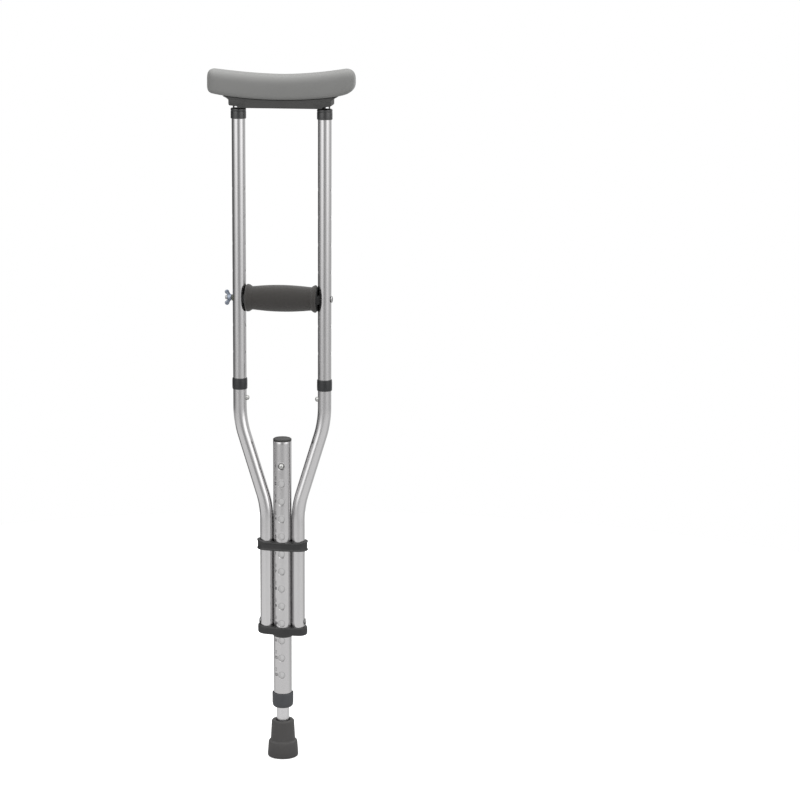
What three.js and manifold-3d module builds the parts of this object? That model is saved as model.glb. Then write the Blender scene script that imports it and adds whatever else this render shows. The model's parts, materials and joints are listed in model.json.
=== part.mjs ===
// Underarm (axillary) crutch, height adjustable, aluminium tube.
// Units are millimetres, +Z is up, the crutch stands in the XZ plane, its front faces -Y.
// Left is -X and right is +X. The origin is the centre of the rubber tip's sole.
import * as THREE from 'three';
import { mergeVertices } from 'three/addons/utils/BufferGeometryUtils.js';
import Module from 'manifold-3d';

const wasm = await Module();
wasm.setup();

// ---------------------------------------------------------------- driving dimensions
const SIDES = [['left', -1], ['right', 1]];   // name, sign of X

// facets round a circle
const TUBE_SEG = 20;
const LEG_SEG = 24;
const PIN_SEG = 16;
const SMALL_HOLE_SEG = 12;
const LEG_HOLE_SEG = 14;
const HULL_SEG = 20;

const WALL = 1.2;               // of every tube
const TUBE_R = 9.4;             // uprights and bows, nominal 19 mm tube
const TUBE_BORE_R = TUBE_R - WALL;
const UPRIGHT_X = 59.8;         // half the distance between the uprights' axes
const UPRIGHT_TOP = 925.0;
const UPRIGHT_BOTTOM = 514.0;   // end of the swaged plug
const SWAGE_TOP = 545.0;        // full diameter above this height
const SWAGE_TAPER = 4;          // height of the cone below it
const SWAGE_R = 8.0;

const BOW_TOP = 540.5;
const BOW_BOTTOM = 184.3;
const BOW_LOW_X = 22.5;         // half the distance between the bows' lower ends
const BEND_TOP_Z = 511.0;       // the bow starts to bend in here
const UPPER_BEND_R = 140.0;
const LOWER_BEND_R = 126.0;
const BEND_ANGLE = 17.05 * Math.PI / 180;
const BEND_STEPS = 4;

const LEG_R = 12.95;            // nominal 26 mm tube
const LEG_BOTTOM = 76.5;
const LEG_TOP = 462.2;
const HOLE_TOP_Z = 427.5;       // top height hole
const HOLE_PITCH = 25.4;
const HOLE_COUNT = 13;
const HOLE_R = 4.5;

const EXT_R = 8.9;              // inner extension tube, nominal 18 mm
const EXT_BOTTOM = 22.2;
const EXT_TOP = 440.0;
const EXT_FIT_R = EXT_R + 0.3;  // bore of the parts round the extension tube

const GRIP_Z = 664.4;           // axis of the handgrip bolt
const GRIP_PITCH = 38.1;
const GRIP_HOLES = [-2, -1, 0, 1, 2, 3, 4];   // in pitches from the bolt
const BOLT_R = 3.0;
const BOLT_HOLE_R = BOLT_R + 0.35;
const BOLT_LOOSE_R = BOLT_R + 0.4;            // bore of the grip's parts

const SNAP_Z = 522.6;           // buttons that join the uprights to the bows
const SNAP_R = 3.4;
const SNAP_HOLE_R = SNAP_R + 0.3;
const RIVET_Z = 199.6;
const RIVET_HOLE_R = 2.7;
const SIDE_CUT = 15;            // reach of a cutter from a bow's or upright's axis
const FRONT_CUT = 16;           // reach of a cutter from the leg's axis

const MID_COLLAR = { bottom: 535.2, top: 551.0 };
const TOP_COLLAR = { bottom: 913.3, top: 927.9 };
const COLLAR_R = 10.6;
const COLLAR_BORE_R = TUBE_R + 0.3;

const CLAMP = { bottom: 305.2, top: 316.8, earTop: 319.0 };   // ears are the raised ends
const YOKE = { bossBottom: 178.0, bottom: 181.4, top: 192.5, earTop: 194.2 };
const FIT = 0.35;               // gap between a tube and the clamp, yoke or bush

// ---------------------------------------------------------------- materials
const ALUMINIUM = { color: 0xc3c3c4, roughness: 0.34, metalness: 0.9 };
const STEEL = { color: 0xcfd1d2, roughness: 0.22, metalness: 1.0 };
const BLACK = { color: 0x2f2f30, roughness: 0.55, metalness: 0.0 };
const PAD_GREY = { color: 0x858584, roughness: 0.7, metalness: 0.0 };
const SADDLE_BLACK = { color: 0x3a3a3b, roughness: 0.6, metalness: 0.0 };
const CAP_GREY = { color: 0x4a4a49, roughness: 0.5, metalness: 0.0 };
const BUSH_BLACK = { color: 0x3d3d3e, roughness: 0.55, metalness: 0.0 };
const TIP_RUBBER = { color: 0x38383a, roughness: 0.75, metalness: 0.0 };
const SLEEVE_BLACK = { color: 0x3b3b3c, roughness: 0.85, metalness: 0.0 };
const CORE_BLACK = { color: 0x2a2a2b, roughness: 0.6, metalness: 0.0 };
const WASHER_GREY = { color: 0x3a3a3b, roughness: 0.6, metalness: 0.3 };

// ---------------------------------------------------------------- meshes and solids
const MERGE_TOLERANCE = 1e-4;

// Position-only, merged, outward-facing copy of a closed geometry.
function tidy(source) {
  let geometry = source.clone();
  for (const key of Object.keys(geometry.attributes)) {
    if (key !== 'position') geometry.deleteAttribute(key);
  }
  geometry.clearGroups();
  geometry = mergeVertices(geometry, MERGE_TOLERANCE);
  const position = geometry.attributes.position;
  const index = geometry.index.array;
  const corners = [new THREE.Vector3(), new THREE.Vector3(), new THREE.Vector3()];
  const kept = [];
  let volume = 0;
  for (let i = 0; i < index.length; i += 3) {
    const triangle = [index[i], index[i + 1], index[i + 2]];
    if (new Set(triangle).size < 3) continue;
    kept.push(...triangle);
    corners.forEach((corner, k) => corner.fromBufferAttribute(position, triangle[k]));
    volume += corners[0].dot(corners[1].cross(corners[2]));
  }
  if (volume < 0) {
    for (let i = 0; i < kept.length; i += 3) {
      [kept[i], kept[i + 1]] = [kept[i + 1], kept[i]];
    }
  }
  geometry.setIndex(kept);
  return geometry;
}

// A solid that can be joined and cut.
function solid(geometry) {
  const clean = tidy(geometry);
  return new wasm.Manifold(new wasm.Mesh({
    numProp: 3,
    vertProperties: new Float32Array(clean.attributes.position.array),
    triVerts: new Uint32Array(clean.index.array),
  }));
}

function geometryOf(manifold) {
  const { vertProperties, triVerts } = manifold.getMesh();
  const geometry = new THREE.BufferGeometry();
  const positions = new Float32Array(vertProperties);
  geometry.setAttribute('position', new THREE.BufferAttribute(positions, 3));
  geometry.setIndex(Array.from(triVerts));
  return geometry;
}

// ---------------------------------------------------------------- shape helpers
// Turned piece about Z. The profile is [radius, z] and closes on itself or ends on the axis.
function turned(profile, segments = TUBE_SEG) {
  const points = profile.map(([radius, z]) => new THREE.Vector2(radius, z));
  const first = points[0];
  const last = points[points.length - 1];
  const endsOnAxis = first.x === 0 && last.x === 0;
  if (!endsOnAxis && !first.equals(last)) points.push(first.clone());
  return new THREE.LatheGeometry(points, segments).rotateX(Math.PI / 2);
}

// The same about X. The profile is [radius, x].
function turnedX(profile, segments = TUBE_SEG) {
  return turned(profile, segments).rotateY(Math.PI / 2);
}

// Straight tube about Z, as a solid.
function tubeZ(innerR, outerR, bottom, top, segments) {
  return solid(turned([
    [innerR, top], [outerR, top], [outerR, bottom], [innerR, bottom],
  ], segments));
}

// Solid rods and a block for cutting and joining. The two ends in X come in either order.
function rodZ(radius, z0, z1, x = 0) {
  const rod = new THREE.CylinderGeometry(radius, radius, z1 - z0, TUBE_SEG);
  return solid(rod.rotateX(Math.PI / 2).translate(x, 0, (z0 + z1) / 2));
}
function rodX(radius, x0, x1, z, segments = PIN_SEG) {
  const rod = new THREE.CylinderGeometry(radius, radius, Math.abs(x1 - x0), segments);
  return solid(rod.rotateZ(Math.PI / 2).translate((x0 + x1) / 2, 0, z));
}
function rodY(radius, y0, y1, z, segments = PIN_SEG) {
  const rod = new THREE.CylinderGeometry(radius, radius, y1 - y0, segments);
  return solid(rod.translate(0, (y0 + y1) / 2, z));
}
function block(x0, x1, halfDepth, z0, z1) {
  const box = new THREE.BoxGeometry(Math.abs(x1 - x0), 2 * halfDepth, z1 - z0);
  return solid(box.translate((x0 + x1) / 2, 0, (z0 + z1) / 2));
}

// Outline in X and Y, extruded from z0 to z1.
function plateXY(outline, z0, z1, bevel = 0, bevelSegments = 2) {
  const shape = new THREE.Shape(outline.map(([x, y]) => new THREE.Vector2(x, y)));
  const plate = new THREE.ExtrudeGeometry(shape, {
    depth: z1 - z0 - 2 * bevel,
    steps: 1,
    bevelEnabled: bevel > 0,
    bevelThickness: bevel,
    bevelSize: bevel,
    bevelOffset: -bevel,
    bevelSegments,
  });
  return plate.translate(0, 0, z0 + bevel);
}

// Outline in X and Z, extruded symmetrically in Y.
function plateXZ(outline, halfDepth, bevel, bevelSegments) {
  return plateXY(outline, -halfDepth, halfDepth, bevel, bevelSegments).rotateX(Math.PI / 2);
}

// Points [x, z] at even steps in x along a curve.
function along(from, to, steps, heightAt) {
  return Array.from({ length: steps + 1 }, (_, i) => {
    const x = from + ((to - from) * i) / steps;
    return [x, heightAt(x)];
  });
}

// Mirror image in X of a run of points, in reverse order so that an outline can go on.
function mirrored(points) {
  return points.map(([x, z]) => [-x, z]).reverse();
}

// Points of a circle in a plane.
function circle(radius, segments, centreX = 0) {
  return Array.from({ length: segments }, (_, i) => {
    const angle = (i / segments) * 2 * Math.PI;
    return [centreX + radius * Math.cos(angle), radius * Math.sin(angle)];
  });
}

// ---------------------------------------------------------------- underarm pad and its saddle
const PAD_HALF_LENGTH = 101.6;
const PAD_HALF_DEPTH = 24.0;
const SADDLE_BOTTOM = 929.2;

// Heights of the pad's underside and top along its length.
const seam = (x) => 940.0 + 5.2 * (x / 78) ** 2;
const crown = (x) => 975.0 + 6.6 * Math.min(1, Math.abs(x) / 90) ** 1.7;

// [x, z] up the right end of the pad
const PAD_END = [
  [88.5, 949.0], [94.4, 952.8], [98.9, 957.0], [PAD_HALF_LENGTH - 0.5, 962.4],
  [PAD_HALF_LENGTH, 971.5], [99.9, 976.8], [96.4, 980.2],
];

// [x, z] of the right half of the saddle's underside, from the middle out
const SADDLE_UNDERSIDE = [
  [57.5, SADDLE_BOTTOM], [59.5, 931.4], [69.3, 932.4], [70.6, 933.8], [70.7, 940.2], [73.8, 942.9],
];

// Tongue of the saddle that carries the pad, grown at its ends, top and faces for the slot.
function tongue(grow) {
  const half = 72 + grow;
  return solid(plateXZ([
    ...along(-half, half, 10, (x) => seam(x) + 15 + grow),
    ...along(half, -half, 10, (x) => seam(x) - 3),
  ], 8 + grow));
}

function underarmPad() {
  const outline = [
    ...along(-84, 84, 14, (x) => seam(x) + 0.3),
    ...PAD_END,
    ...along(91, -91, 16, crown),
    ...mirrored(PAD_END),
  ];
  return solid(plateXZ(outline, PAD_HALF_DEPTH, 6, 3)).subtract(tongue(0.4));
}

// Stem into an upright: a cross inside the tube, above it a solid inner half
// and one thin outer rib.
function saddleStem(sign) {
  const x = sign * UPRIGHT_X;
  const cross = { bottom: 900, top: 926.5, halfWidth: 7.4, halfThickness: 1.5 };
  const neck = { bottom: 925.4, top: 933 };
  return block(x - cross.halfWidth, x + cross.halfWidth, cross.halfThickness,
    cross.bottom, cross.top)
    .add(block(x - cross.halfThickness, x + cross.halfThickness, cross.halfWidth,
      cross.bottom, cross.top))
    .add(block(x - sign * 7.2, x + sign * 1.2, 3.6, neck.bottom, neck.top))
    .add(block(x + sign * 5.6, x + sign * 7.3, 3.4, neck.bottom, neck.top));
}

// Tray under the pad, flat below, with its tongue and stems.
function padSaddle() {
  const outline = [
    ...mirrored(SADDLE_UNDERSIDE), ...SADDLE_UNDERSIDE, ...along(78.6, -78.6, 12, seam),
  ];
  return solid(plateXZ(outline, 19, 1.2, 1))
    .add(tongue(0))
    .add(saddleStem(-1))
    .add(saddleStem(1));
}

// ---------------------------------------------------------------- uprights, collars, snap buttons
// These pieces are built about X = 0 and placed on the upright's axis.
function upright(sign) {
  const swageBoreR = SWAGE_R - WALL;
  const taperBottom = SWAGE_TOP - SWAGE_TAPER;
  let tube = solid(turned([
    [TUBE_BORE_R, UPRIGHT_TOP], [TUBE_R, UPRIGHT_TOP], [TUBE_R, SWAGE_TOP],
    [SWAGE_R, taperBottom], [SWAGE_R, UPRIGHT_BOTTOM], [swageBoreR, UPRIGHT_BOTTOM],
    [swageBoreR, taperBottom], [TUBE_BORE_R, SWAGE_TOP],
  ]));
  for (const k of GRIP_HOLES) {
    const z = GRIP_Z + k * GRIP_PITCH;
    tube = tube.subtract(rodX(BOLT_HOLE_R, -SIDE_CUT, SIDE_CUT, z, SMALL_HOLE_SEG));
  }
  // the button's hole goes through the inner wall only
  return tube.subtract(rodX(SNAP_HOLE_R, -sign * SIDE_CUT, 0, SNAP_Z));
}

// Collar with a lip that covers the upright's top end.
function topCollar() {
  const { bottom, top } = TOP_COLLAR;
  const lipR = 8.6;
  const lipBottom = UPRIGHT_TOP + 0.4;
  return turned([
    [lipR, top], [COLLAR_R - 1.1, top], [COLLAR_R + 0.1, top - 1.4],
    [COLLAR_R + 0.1, bottom + 0.8], [COLLAR_R - 0.4, bottom], [COLLAR_BORE_R, bottom],
    [COLLAR_BORE_R, lipBottom], [lipR, lipBottom],
  ]);
}

function midCollar() {
  const { bottom, top } = MID_COLLAR;
  return turned([
    [COLLAR_BORE_R, top], [COLLAR_R - 0.5, top], [COLLAR_R, top - 1.0],
    [COLLAR_R, bottom + 1.0], [COLLAR_R - 0.5, bottom], [COLLAR_BORE_R, bottom],
  ]);
}

// Domed button along +X whose foot is wider than its hole.
function snapButton() {
  return turnedX([
    [0, 3.8], [4.3, 3.8], [4.3, 4.8], [SNAP_R, 4.8], [SNAP_R, 11.2],
    [2.9, 12.4], [1.7, 13.1], [0, 13.3],
  ], PIN_SEG);
}

// Bent leaf spring behind a snap button; [x, z] from the button's centre.
function buttonSpring() {
  return plateXZ([
    [3.5, -4.5], [2.8, -4.5], [2.6, 4], [1.6, 8.6], [-0.6, 11.0], [-3.2, 10.6],
    [-4.6, 8.2], [-5.2, 4], [-5.4, -6.0], [-6.0, -6.0], [-5.8, 4], [-5.2, 8.6],
    [-3.4, 11.4], [-0.4, 11.9], [2.2, 9.2], [3.3, 4.2],
  ], 2.6);
}

// ---------------------------------------------------------------- bows
// Centre line of a bow in XZ: an inward bend, a straight run and a bend back to vertical.
// It has stations only at the ends and in the bends.
class BowPath extends THREE.Curve {
  constructor(sign) {
    super();
    const bendDrop = (radius, angle) => radius * Math.sin(angle);
    const bendShift = (radius, angle) => radius * (1 - Math.cos(angle));
    const straightShift = UPRIGHT_X - BOW_LOW_X
      - bendShift(UPPER_BEND_R, BEND_ANGLE) - bendShift(LOWER_BEND_R, BEND_ANGLE);
    const lowerBendEndZ = BEND_TOP_Z - bendDrop(UPPER_BEND_R, BEND_ANGLE)
      - straightShift / Math.tan(BEND_ANGLE) - bendDrop(LOWER_BEND_R, BEND_ANGLE);

    this.stations = [];
    // angle is the lean of the tube from vertical
    const addStation = (distance, z, angle) => this.stations.push({
      point: new THREE.Vector3(sign * distance, 0, z),
      tangent: new THREE.Vector3(-sign * Math.sin(angle), 0, -Math.cos(angle)),
    });
    addStation(UPRIGHT_X, BOW_TOP, 0);
    for (let i = 0; i <= BEND_STEPS; i++) {
      const angle = (BEND_ANGLE * i) / BEND_STEPS;
      addStation(UPRIGHT_X - bendShift(UPPER_BEND_R, angle),
        BEND_TOP_Z - bendDrop(UPPER_BEND_R, angle), angle);
    }
    for (let i = 0; i <= BEND_STEPS; i++) {
      const angle = BEND_ANGLE * (1 - i / BEND_STEPS);
      addStation(BOW_LOW_X + bendShift(LOWER_BEND_R, angle),
        lowerBendEndZ + bendDrop(LOWER_BEND_R, angle), angle);
    }
    addStation(BOW_LOW_X, BOW_BOTTOM, 0);
    this.steps = this.stations.length - 1;
  }

  stationAt(u) {
    return this.stations[Math.round(u * this.steps)];
  }

  // The extrusion reads the path only through these two.
  getPointAt(u, target = new THREE.Vector3()) {
    return target.copy(this.stationAt(u).point);
  }

  getTangentAt(u, target = new THREE.Vector3()) {
    return target.copy(this.stationAt(u).tangent);
  }
}

function bow(sign) {
  const ring = (radius) => circle(radius, TUBE_SEG).map(([x, y]) => new THREE.Vector2(x, y));
  const path = new BowPath(sign);
  const section = new THREE.Shape(ring(TUBE_R));
  section.holes.push(new THREE.Path(ring(TUBE_BORE_R).reverse()));
  // the button's hole is in the inner wall, the rivet's in the outer wall
  return solid(new THREE.ExtrudeGeometry(section, { steps: path.steps, extrudePath: path }))
    .subtract(rodX(SNAP_HOLE_R, sign * (UPRIGHT_X - SIDE_CUT), sign * UPRIGHT_X, SNAP_Z))
    .subtract(rodX(RIVET_HOLE_R, sign * (BOW_LOW_X + SIDE_CUT), sign * BOW_LOW_X, RIVET_Z,
      SMALL_HOLE_SEG));
}

// Rivet along +X with a domed head.
function rivet() {
  return turnedX([
    [0, 4.6], [2.4, 4.6], [2.4, 9.6], [4.8, 9.6], [4.6, 10.3], [3.6, 11.0], [1.9, 11.3], [0, 11.4],
  ], PIN_SEG);
}

// ---------------------------------------------------------------- clamp band and lower yoke
// Convex outline in XY round three circles: the leg's and the two bows'.
function bandOutline(legRadius, bowRadius) {
  const points = [
    ...circle(bowRadius, HULL_SEG, -BOW_LOW_X),
    ...circle(legRadius, HULL_SEG),
    ...circle(bowRadius, HULL_SEG, BOW_LOW_X),
  ];
  points.sort((a, b) => a[0] - b[0] || a[1] - b[1]);
  const turn = (o, a, b) => (a[0] - o[0]) * (b[1] - o[1]) - (a[1] - o[1]) * (b[0] - o[0]);
  const halfHull = (list) => {
    const hull = [];
    for (const point of list) {
      while (hull.length > 1 && turn(hull.at(-2), hull.at(-1), point) <= 1e-6) hull.pop();
      hull.push(point);
    }
    hull.pop();
    return hull;
  };
  return [...halfHull(points), ...halfHull([...points].reverse())];
}

// The two ends of an outline, which rise above the rest.
function ears(outline, bottom, top) {
  const plate = solid(plateXY(outline, bottom, top));
  const end = (sign) => plate.intersect(block(sign * 24, sign * 40, 20, bottom - 1, top + 1));
  return end(-1).add(end(1));
}

// Band with a rim at its bottom and top edges, open inside between the three tubes.
function upperClamp() {
  const { bottom, top, earTop } = CLAMP;
  const rimHeight = 2;
  const rim = bandOutline(16.0, 13.8);
  const cutBottom = bottom - 1;
  const cutTop = earTop + 1;
  const bores = rodZ(LEG_R + FIT, cutBottom, cutTop)
    .add(rodZ(TUBE_R + FIT, cutBottom, cutTop, -BOW_LOW_X))
    .add(rodZ(TUBE_R + FIT, cutBottom, cutTop, BOW_LOW_X))
    .add(block(-BOW_LOW_X, BOW_LOW_X, 4.5, cutBottom, cutTop));
  return solid(plateXY(bandOutline(15.2, 12.2), bottom, top))
    .add(solid(plateXY(rim, bottom, bottom + rimHeight)))
    .add(solid(plateXY(rim, top - rimHeight, top)))
    .add(ears(rim, top - rimHeight, earTop))
    .subtract(bores);
}

// Yoke with a stepped boss below, a socket for each bow and a plug inside each bow.
function lowerYoke() {
  const { bossBottom, bottom, top, earTop } = YOKE;
  let yoke = solid(plateXY(bandOutline(15.6, 12.9), bottom, top, 0.9))
    .add(rodZ(14.9, bossBottom + 1.5, bottom + 2))
    .add(rodZ(14.0, bossBottom, bossBottom + 2))
    .add(ears(bandOutline(15.2, 12.5), top - 2, earTop));
  for (const [, sign] of SIDES) {
    const x = sign * BOW_LOW_X;
    yoke = yoke.subtract(rodZ(TUBE_R + FIT, BOW_BOTTOM - FIT, earTop + 1, x))
      .add(rodZ(TUBE_BORE_R - FIT, bottom + 1.5, 208, x))
      .subtract(rodX(RIVET_HOLE_R, x + sign * 4.2, x + sign * 9, RIVET_Z, SMALL_HOLE_SEG));
  }
  return yoke.subtract(rodZ(LEG_R + FIT, bossBottom - 1, top + 1));
}

// ---------------------------------------------------------------- leg tube, cap and bottom bush
// The height holes go through the front wall only.
function legTube() {
  let leg = tubeZ(LEG_R - WALL, LEG_R, LEG_BOTTOM, LEG_TOP, LEG_SEG);
  for (let k = 0; k < HOLE_COUNT; k++) {
    leg = leg.subtract(rodY(HOLE_R, -FRONT_CUT, 0, HOLE_TOP_Z - k * HOLE_PITCH, LEG_HOLE_SEG));
  }
  return leg;
}

function legCap() {
  return turned([
    [0, 450], [11.3, 450], [11.3, LEG_TOP + 0.3], [13.0, LEG_TOP + 0.3], [13.0, LEG_TOP + 2.6],
    [11.9, LEG_TOP + 3.7], [7.5, LEG_TOP + 4.5], [0, LEG_TOP + 4.8],
  ], LEG_SEG);
}

function legBush() {
  return turned([
    [EXT_FIT_R, 73.6], [13.0, 73.6], [14.4, 75.2], [15.1, 79.0], [15.15, 82.0], [15.15, 93.6],
    [14.5, 94.6], [LEG_R + FIT, 94.6], [LEG_R + FIT, LEG_BOTTOM - FIT],
    [EXT_FIT_R, LEG_BOTTOM - FIT],
  ], LEG_SEG);
}

// ---------------------------------------------------------------- extension tube and its parts
function extensionTube() {
  return tubeZ(EXT_R - WALL, EXT_R, EXT_BOTTOM, EXT_TOP, TUBE_SEG)
    .subtract(rodY(HOLE_R, -FRONT_CUT, 0, HOLE_TOP_Z));
}

// Sleeve that fills the gap between the extension tube and the leg.
function extensionGuide() {
  return tubeZ(EXT_R + 0.25, 11.4, 410, 441.5, LEG_SEG)
    .subtract(rodY(HOLE_R + 0.3, -FRONT_CUT, 0, HOLE_TOP_Z));
}

// Button along -Y, foot inside the extension tube.
function legButton() {
  return turned([
    [0, 4.2], [5.3, 4.2], [5.3, 5.2], [4.2, 5.2], [4.2, 13.2], [3.6, 14.8], [2.1, 15.8], [0, 16.1],
  ], PIN_SEG).rotateX(Math.PI / 2);
}

// Leaf spring; [distance to the front, z] from the button's centre once turned to face -Y.
function legButtonSpring() {
  return plateXZ([
    [3.9, -5.0], [3.2, -5.0], [3.0, -14], [1.6, -20.5], [-1.0, -23], [-3.6, -22.2],
    [-5.0, -19], [-5.6, -13], [-5.9, 5], [-6.6, 5], [-6.3, -13.4], [-5.7, -19.6],
    [-3.9, -23.1], [-0.8, -23.9], [2.3, -20.9], [3.7, -14.2],
  ], 3.0).rotateZ(-Math.PI / 2);
}

// Tip with a stepped foot, a wide mouth round the tube and a ringed sole.
function rubberTip() {
  return turned([
    [0, 0], [7.0, 0], [7.6, 1.6], [10.4, 1.6], [11.0, 0], [19.4, 0],
    [21.4, 1.6], [21.9, 4.2], [20.9, 19.2], [20.1, 21.8], [18.6, 23.9], [17.8, 27.5],
    [16.2, 51.4], [15.4, 53.2], [10.4, 53.4], [9.9, 50.0],
    [EXT_FIT_R, 42], [EXT_FIT_R, 20], [0, 20],
  ], LEG_SEG);
}

function tipWasher() {
  return turned([[0, 20.3], [8.3, 20.3], [8.3, 21.8], [0, 21.8]]);
}

// ---------------------------------------------------------------- handgrip, bolt and wing nut
// These pieces are built with the bolt's axis at Z = 0.
function gripSleeve() {
  return turnedX([
    [9.3, -49.0], [18.2, -49.0], [19.3, -47.4], [18.9, -45.4], [16.3, -42.0],
    [17.5, -25], [18.6, -8], [18.6, 8], [17.5, 25], [16.3, 42.0],
    [18.9, 45.4], [19.3, 47.4], [18.2, 49.0], [9.3, 49.0],
  ]);
}

function gripCore() {
  return turnedX([[BOLT_LOOSE_R, -48.8], [8.9, -48.8], [8.9, 48.8], [BOLT_LOOSE_R, 48.8]]);
}

// Cup between the sleeve and an upright, hollowed to sit on the tube.
function gripCup(sign) {
  const profile = [
    [BOLT_LOOSE_R, 49.3], [17.5, 49.3], [17.0, 50.4], [8.2, 54.4], [6.2, 54.6], [6.1, 57.4],
    [BOLT_LOOSE_R, 57.4],
  ];
  return solid(turnedX(profile.map(([radius, x]) => [radius, sign * x])))
    .subtract(rodZ(TUBE_R + 0.4, -30, 30, sign * UPRIGHT_X));
}

// Bolt with its head at the right.
function gripBolt() {
  return turnedX([
    [0, -79.7], [2.2, -79.7], [BOLT_R, -78.9], [BOLT_R, 69.5], [4.6, 69.5], [4.5, 70.0],
    [3.4, 70.7], [1.8, 71.0], [0, 71.1],
  ], PIN_SEG);
}

// Washer curved to sit on the outside of the left upright.
function curvedWasher() {
  return rodZ(TUBE_R + 1.1, -4.0, 4.0, -UPRIGHT_X)
    .subtract(rodZ(TUBE_R + 0.15, -9, 9, -UPRIGHT_X))
    .subtract(block(-UPRIGHT_X - 8.6, 0, 20, -9, 9))
    .subtract(rodX(BOLT_LOOSE_R, -90, -50, 0));
}

// Wing above (sign 1) or below (sign -1) the hub: an elliptical arc closed by a foot.
function wing(sign) {
  const steps = 10;
  const outline = [];
  for (let i = 0; i <= steps; i++) {
    const angle = -0.35 * Math.PI + (1.5 * Math.PI * i) / steps;
    outline.push([-76.4 + 4.4 * Math.cos(angle), 8.3 + 2.9 * Math.sin(angle)]);
  }
  outline.push([-75.6, 2.2], [-71.6, 2.2], [-72.0, 4.2]);
  return solid(plateXZ(outline.map(([x, z]) => [x, sign * z]), 1.2));
}

function wingNut() {
  return solid(turnedX([[3.0, -76.8], [3.9, -76.8], [4.5, -75.6], [4.7, -71.0], [3.0, -71.0]]))
    .add(wing(1))
    .add(wing(-1))
    .subtract(rodX(BOLT_HOLE_R, -90, -60, 0));
}

// ---------------------------------------------------------------- assembly
const crutch = new THREE.Group();
const frameGroup = new THREE.Group();
const gripGroup = new THREE.Group();
const extensionGroup = new THREE.Group();
crutch.add(frameGroup, gripGroup, extensionGroup);
gripGroup.position.z = GRIP_Z;

// flip turns a piece half round about Z, so that +X becomes -X.
function part(group, name, shape, look, { x = 0, z = 0, flip = false } = {}) {
  const geometry = shape instanceof wasm.Manifold ? geometryOf(shape) : tidy(shape);
  const mesh = new THREE.Mesh(geometry, new THREE.MeshStandardMaterial(look));
  mesh.name = name;
  mesh.position.set(x, 0, z);
  if (flip) mesh.rotation.z = Math.PI;
  group.add(mesh);
}

part(frameGroup, 'underarm_pad', underarmPad(), PAD_GREY);
part(frameGroup, 'pad_saddle', padSaddle(), SADDLE_BLACK);
for (const [side, sign] of SIDES) {
  const x = sign * UPRIGHT_X;
  const inward = { x, z: SNAP_Z, flip: sign > 0 };
  part(frameGroup, `upright_${side}`, upright(sign), ALUMINIUM, { x });
  part(frameGroup, `top_collar_${side}`, topCollar(), BLACK, { x });
  part(frameGroup, `mid_collar_${side}`, midCollar(), BLACK, { x });
  part(frameGroup, `snap_button_${side}`, snapButton(), STEEL, inward);
  part(frameGroup, `button_spring_${side}`, buttonSpring(), STEEL, inward);
}
for (const [side, sign] of SIDES) {
  const outward = { x: sign * BOW_LOW_X, z: RIVET_Z, flip: sign < 0 };
  part(frameGroup, `bow_${side}`, bow(sign), ALUMINIUM);
  part(frameGroup, `rivet_${side}`, rivet(), STEEL, outward);
}
part(frameGroup, 'upper_clamp', upperClamp(), BLACK);
part(frameGroup, 'lower_yoke', lowerYoke(), BLACK);
part(frameGroup, 'leg_tube', legTube(), ALUMINIUM);
part(frameGroup, 'leg_cap', legCap(), CAP_GREY);
part(frameGroup, 'leg_bush', legBush(), BUSH_BLACK);

part(extensionGroup, 'extension_tube', extensionTube(), ALUMINIUM);
part(extensionGroup, 'extension_guide', extensionGuide(), BLACK);
part(extensionGroup, 'leg_button', legButton(), STEEL, { z: HOLE_TOP_Z });
part(extensionGroup, 'leg_button_spring', legButtonSpring(), STEEL, { z: HOLE_TOP_Z });
part(extensionGroup, 'rubber_tip', rubberTip(), TIP_RUBBER);
part(extensionGroup, 'tip_washer', tipWasher(), STEEL);

part(gripGroup, 'grip_sleeve', gripSleeve(), SLEEVE_BLACK);
part(gripGroup, 'grip_core', gripCore(), CORE_BLACK);
for (const [side, sign] of SIDES) {
  part(gripGroup, `grip_cup_${side}`, gripCup(sign), BLACK);
}
part(gripGroup, 'grip_bolt', gripBolt(), STEEL);
part(gripGroup, 'curved_washer', curvedWasher(), WASHER_GREY);
part(gripGroup, 'wing_nut', wingNut(), STEEL);

export default crutch;
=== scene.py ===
"""An underarm crutch standing on a pale floor, with its studio and camera.

It stands upright on the Z axis, its tip on the floor. X runs across it from the left upright
to the right one, and its front, with the leg's height holes, faces -Y. Two uprights run down
from the pad and bend in toward the leg tube, in which the extension slides.
Lengths are in mm and are turned into metres as meshes are made, unless a comment says otherwise.
"""

import json
import math

import bmesh
import bpy
import numpy as np
from mathutils import Matrix, Vector


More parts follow.
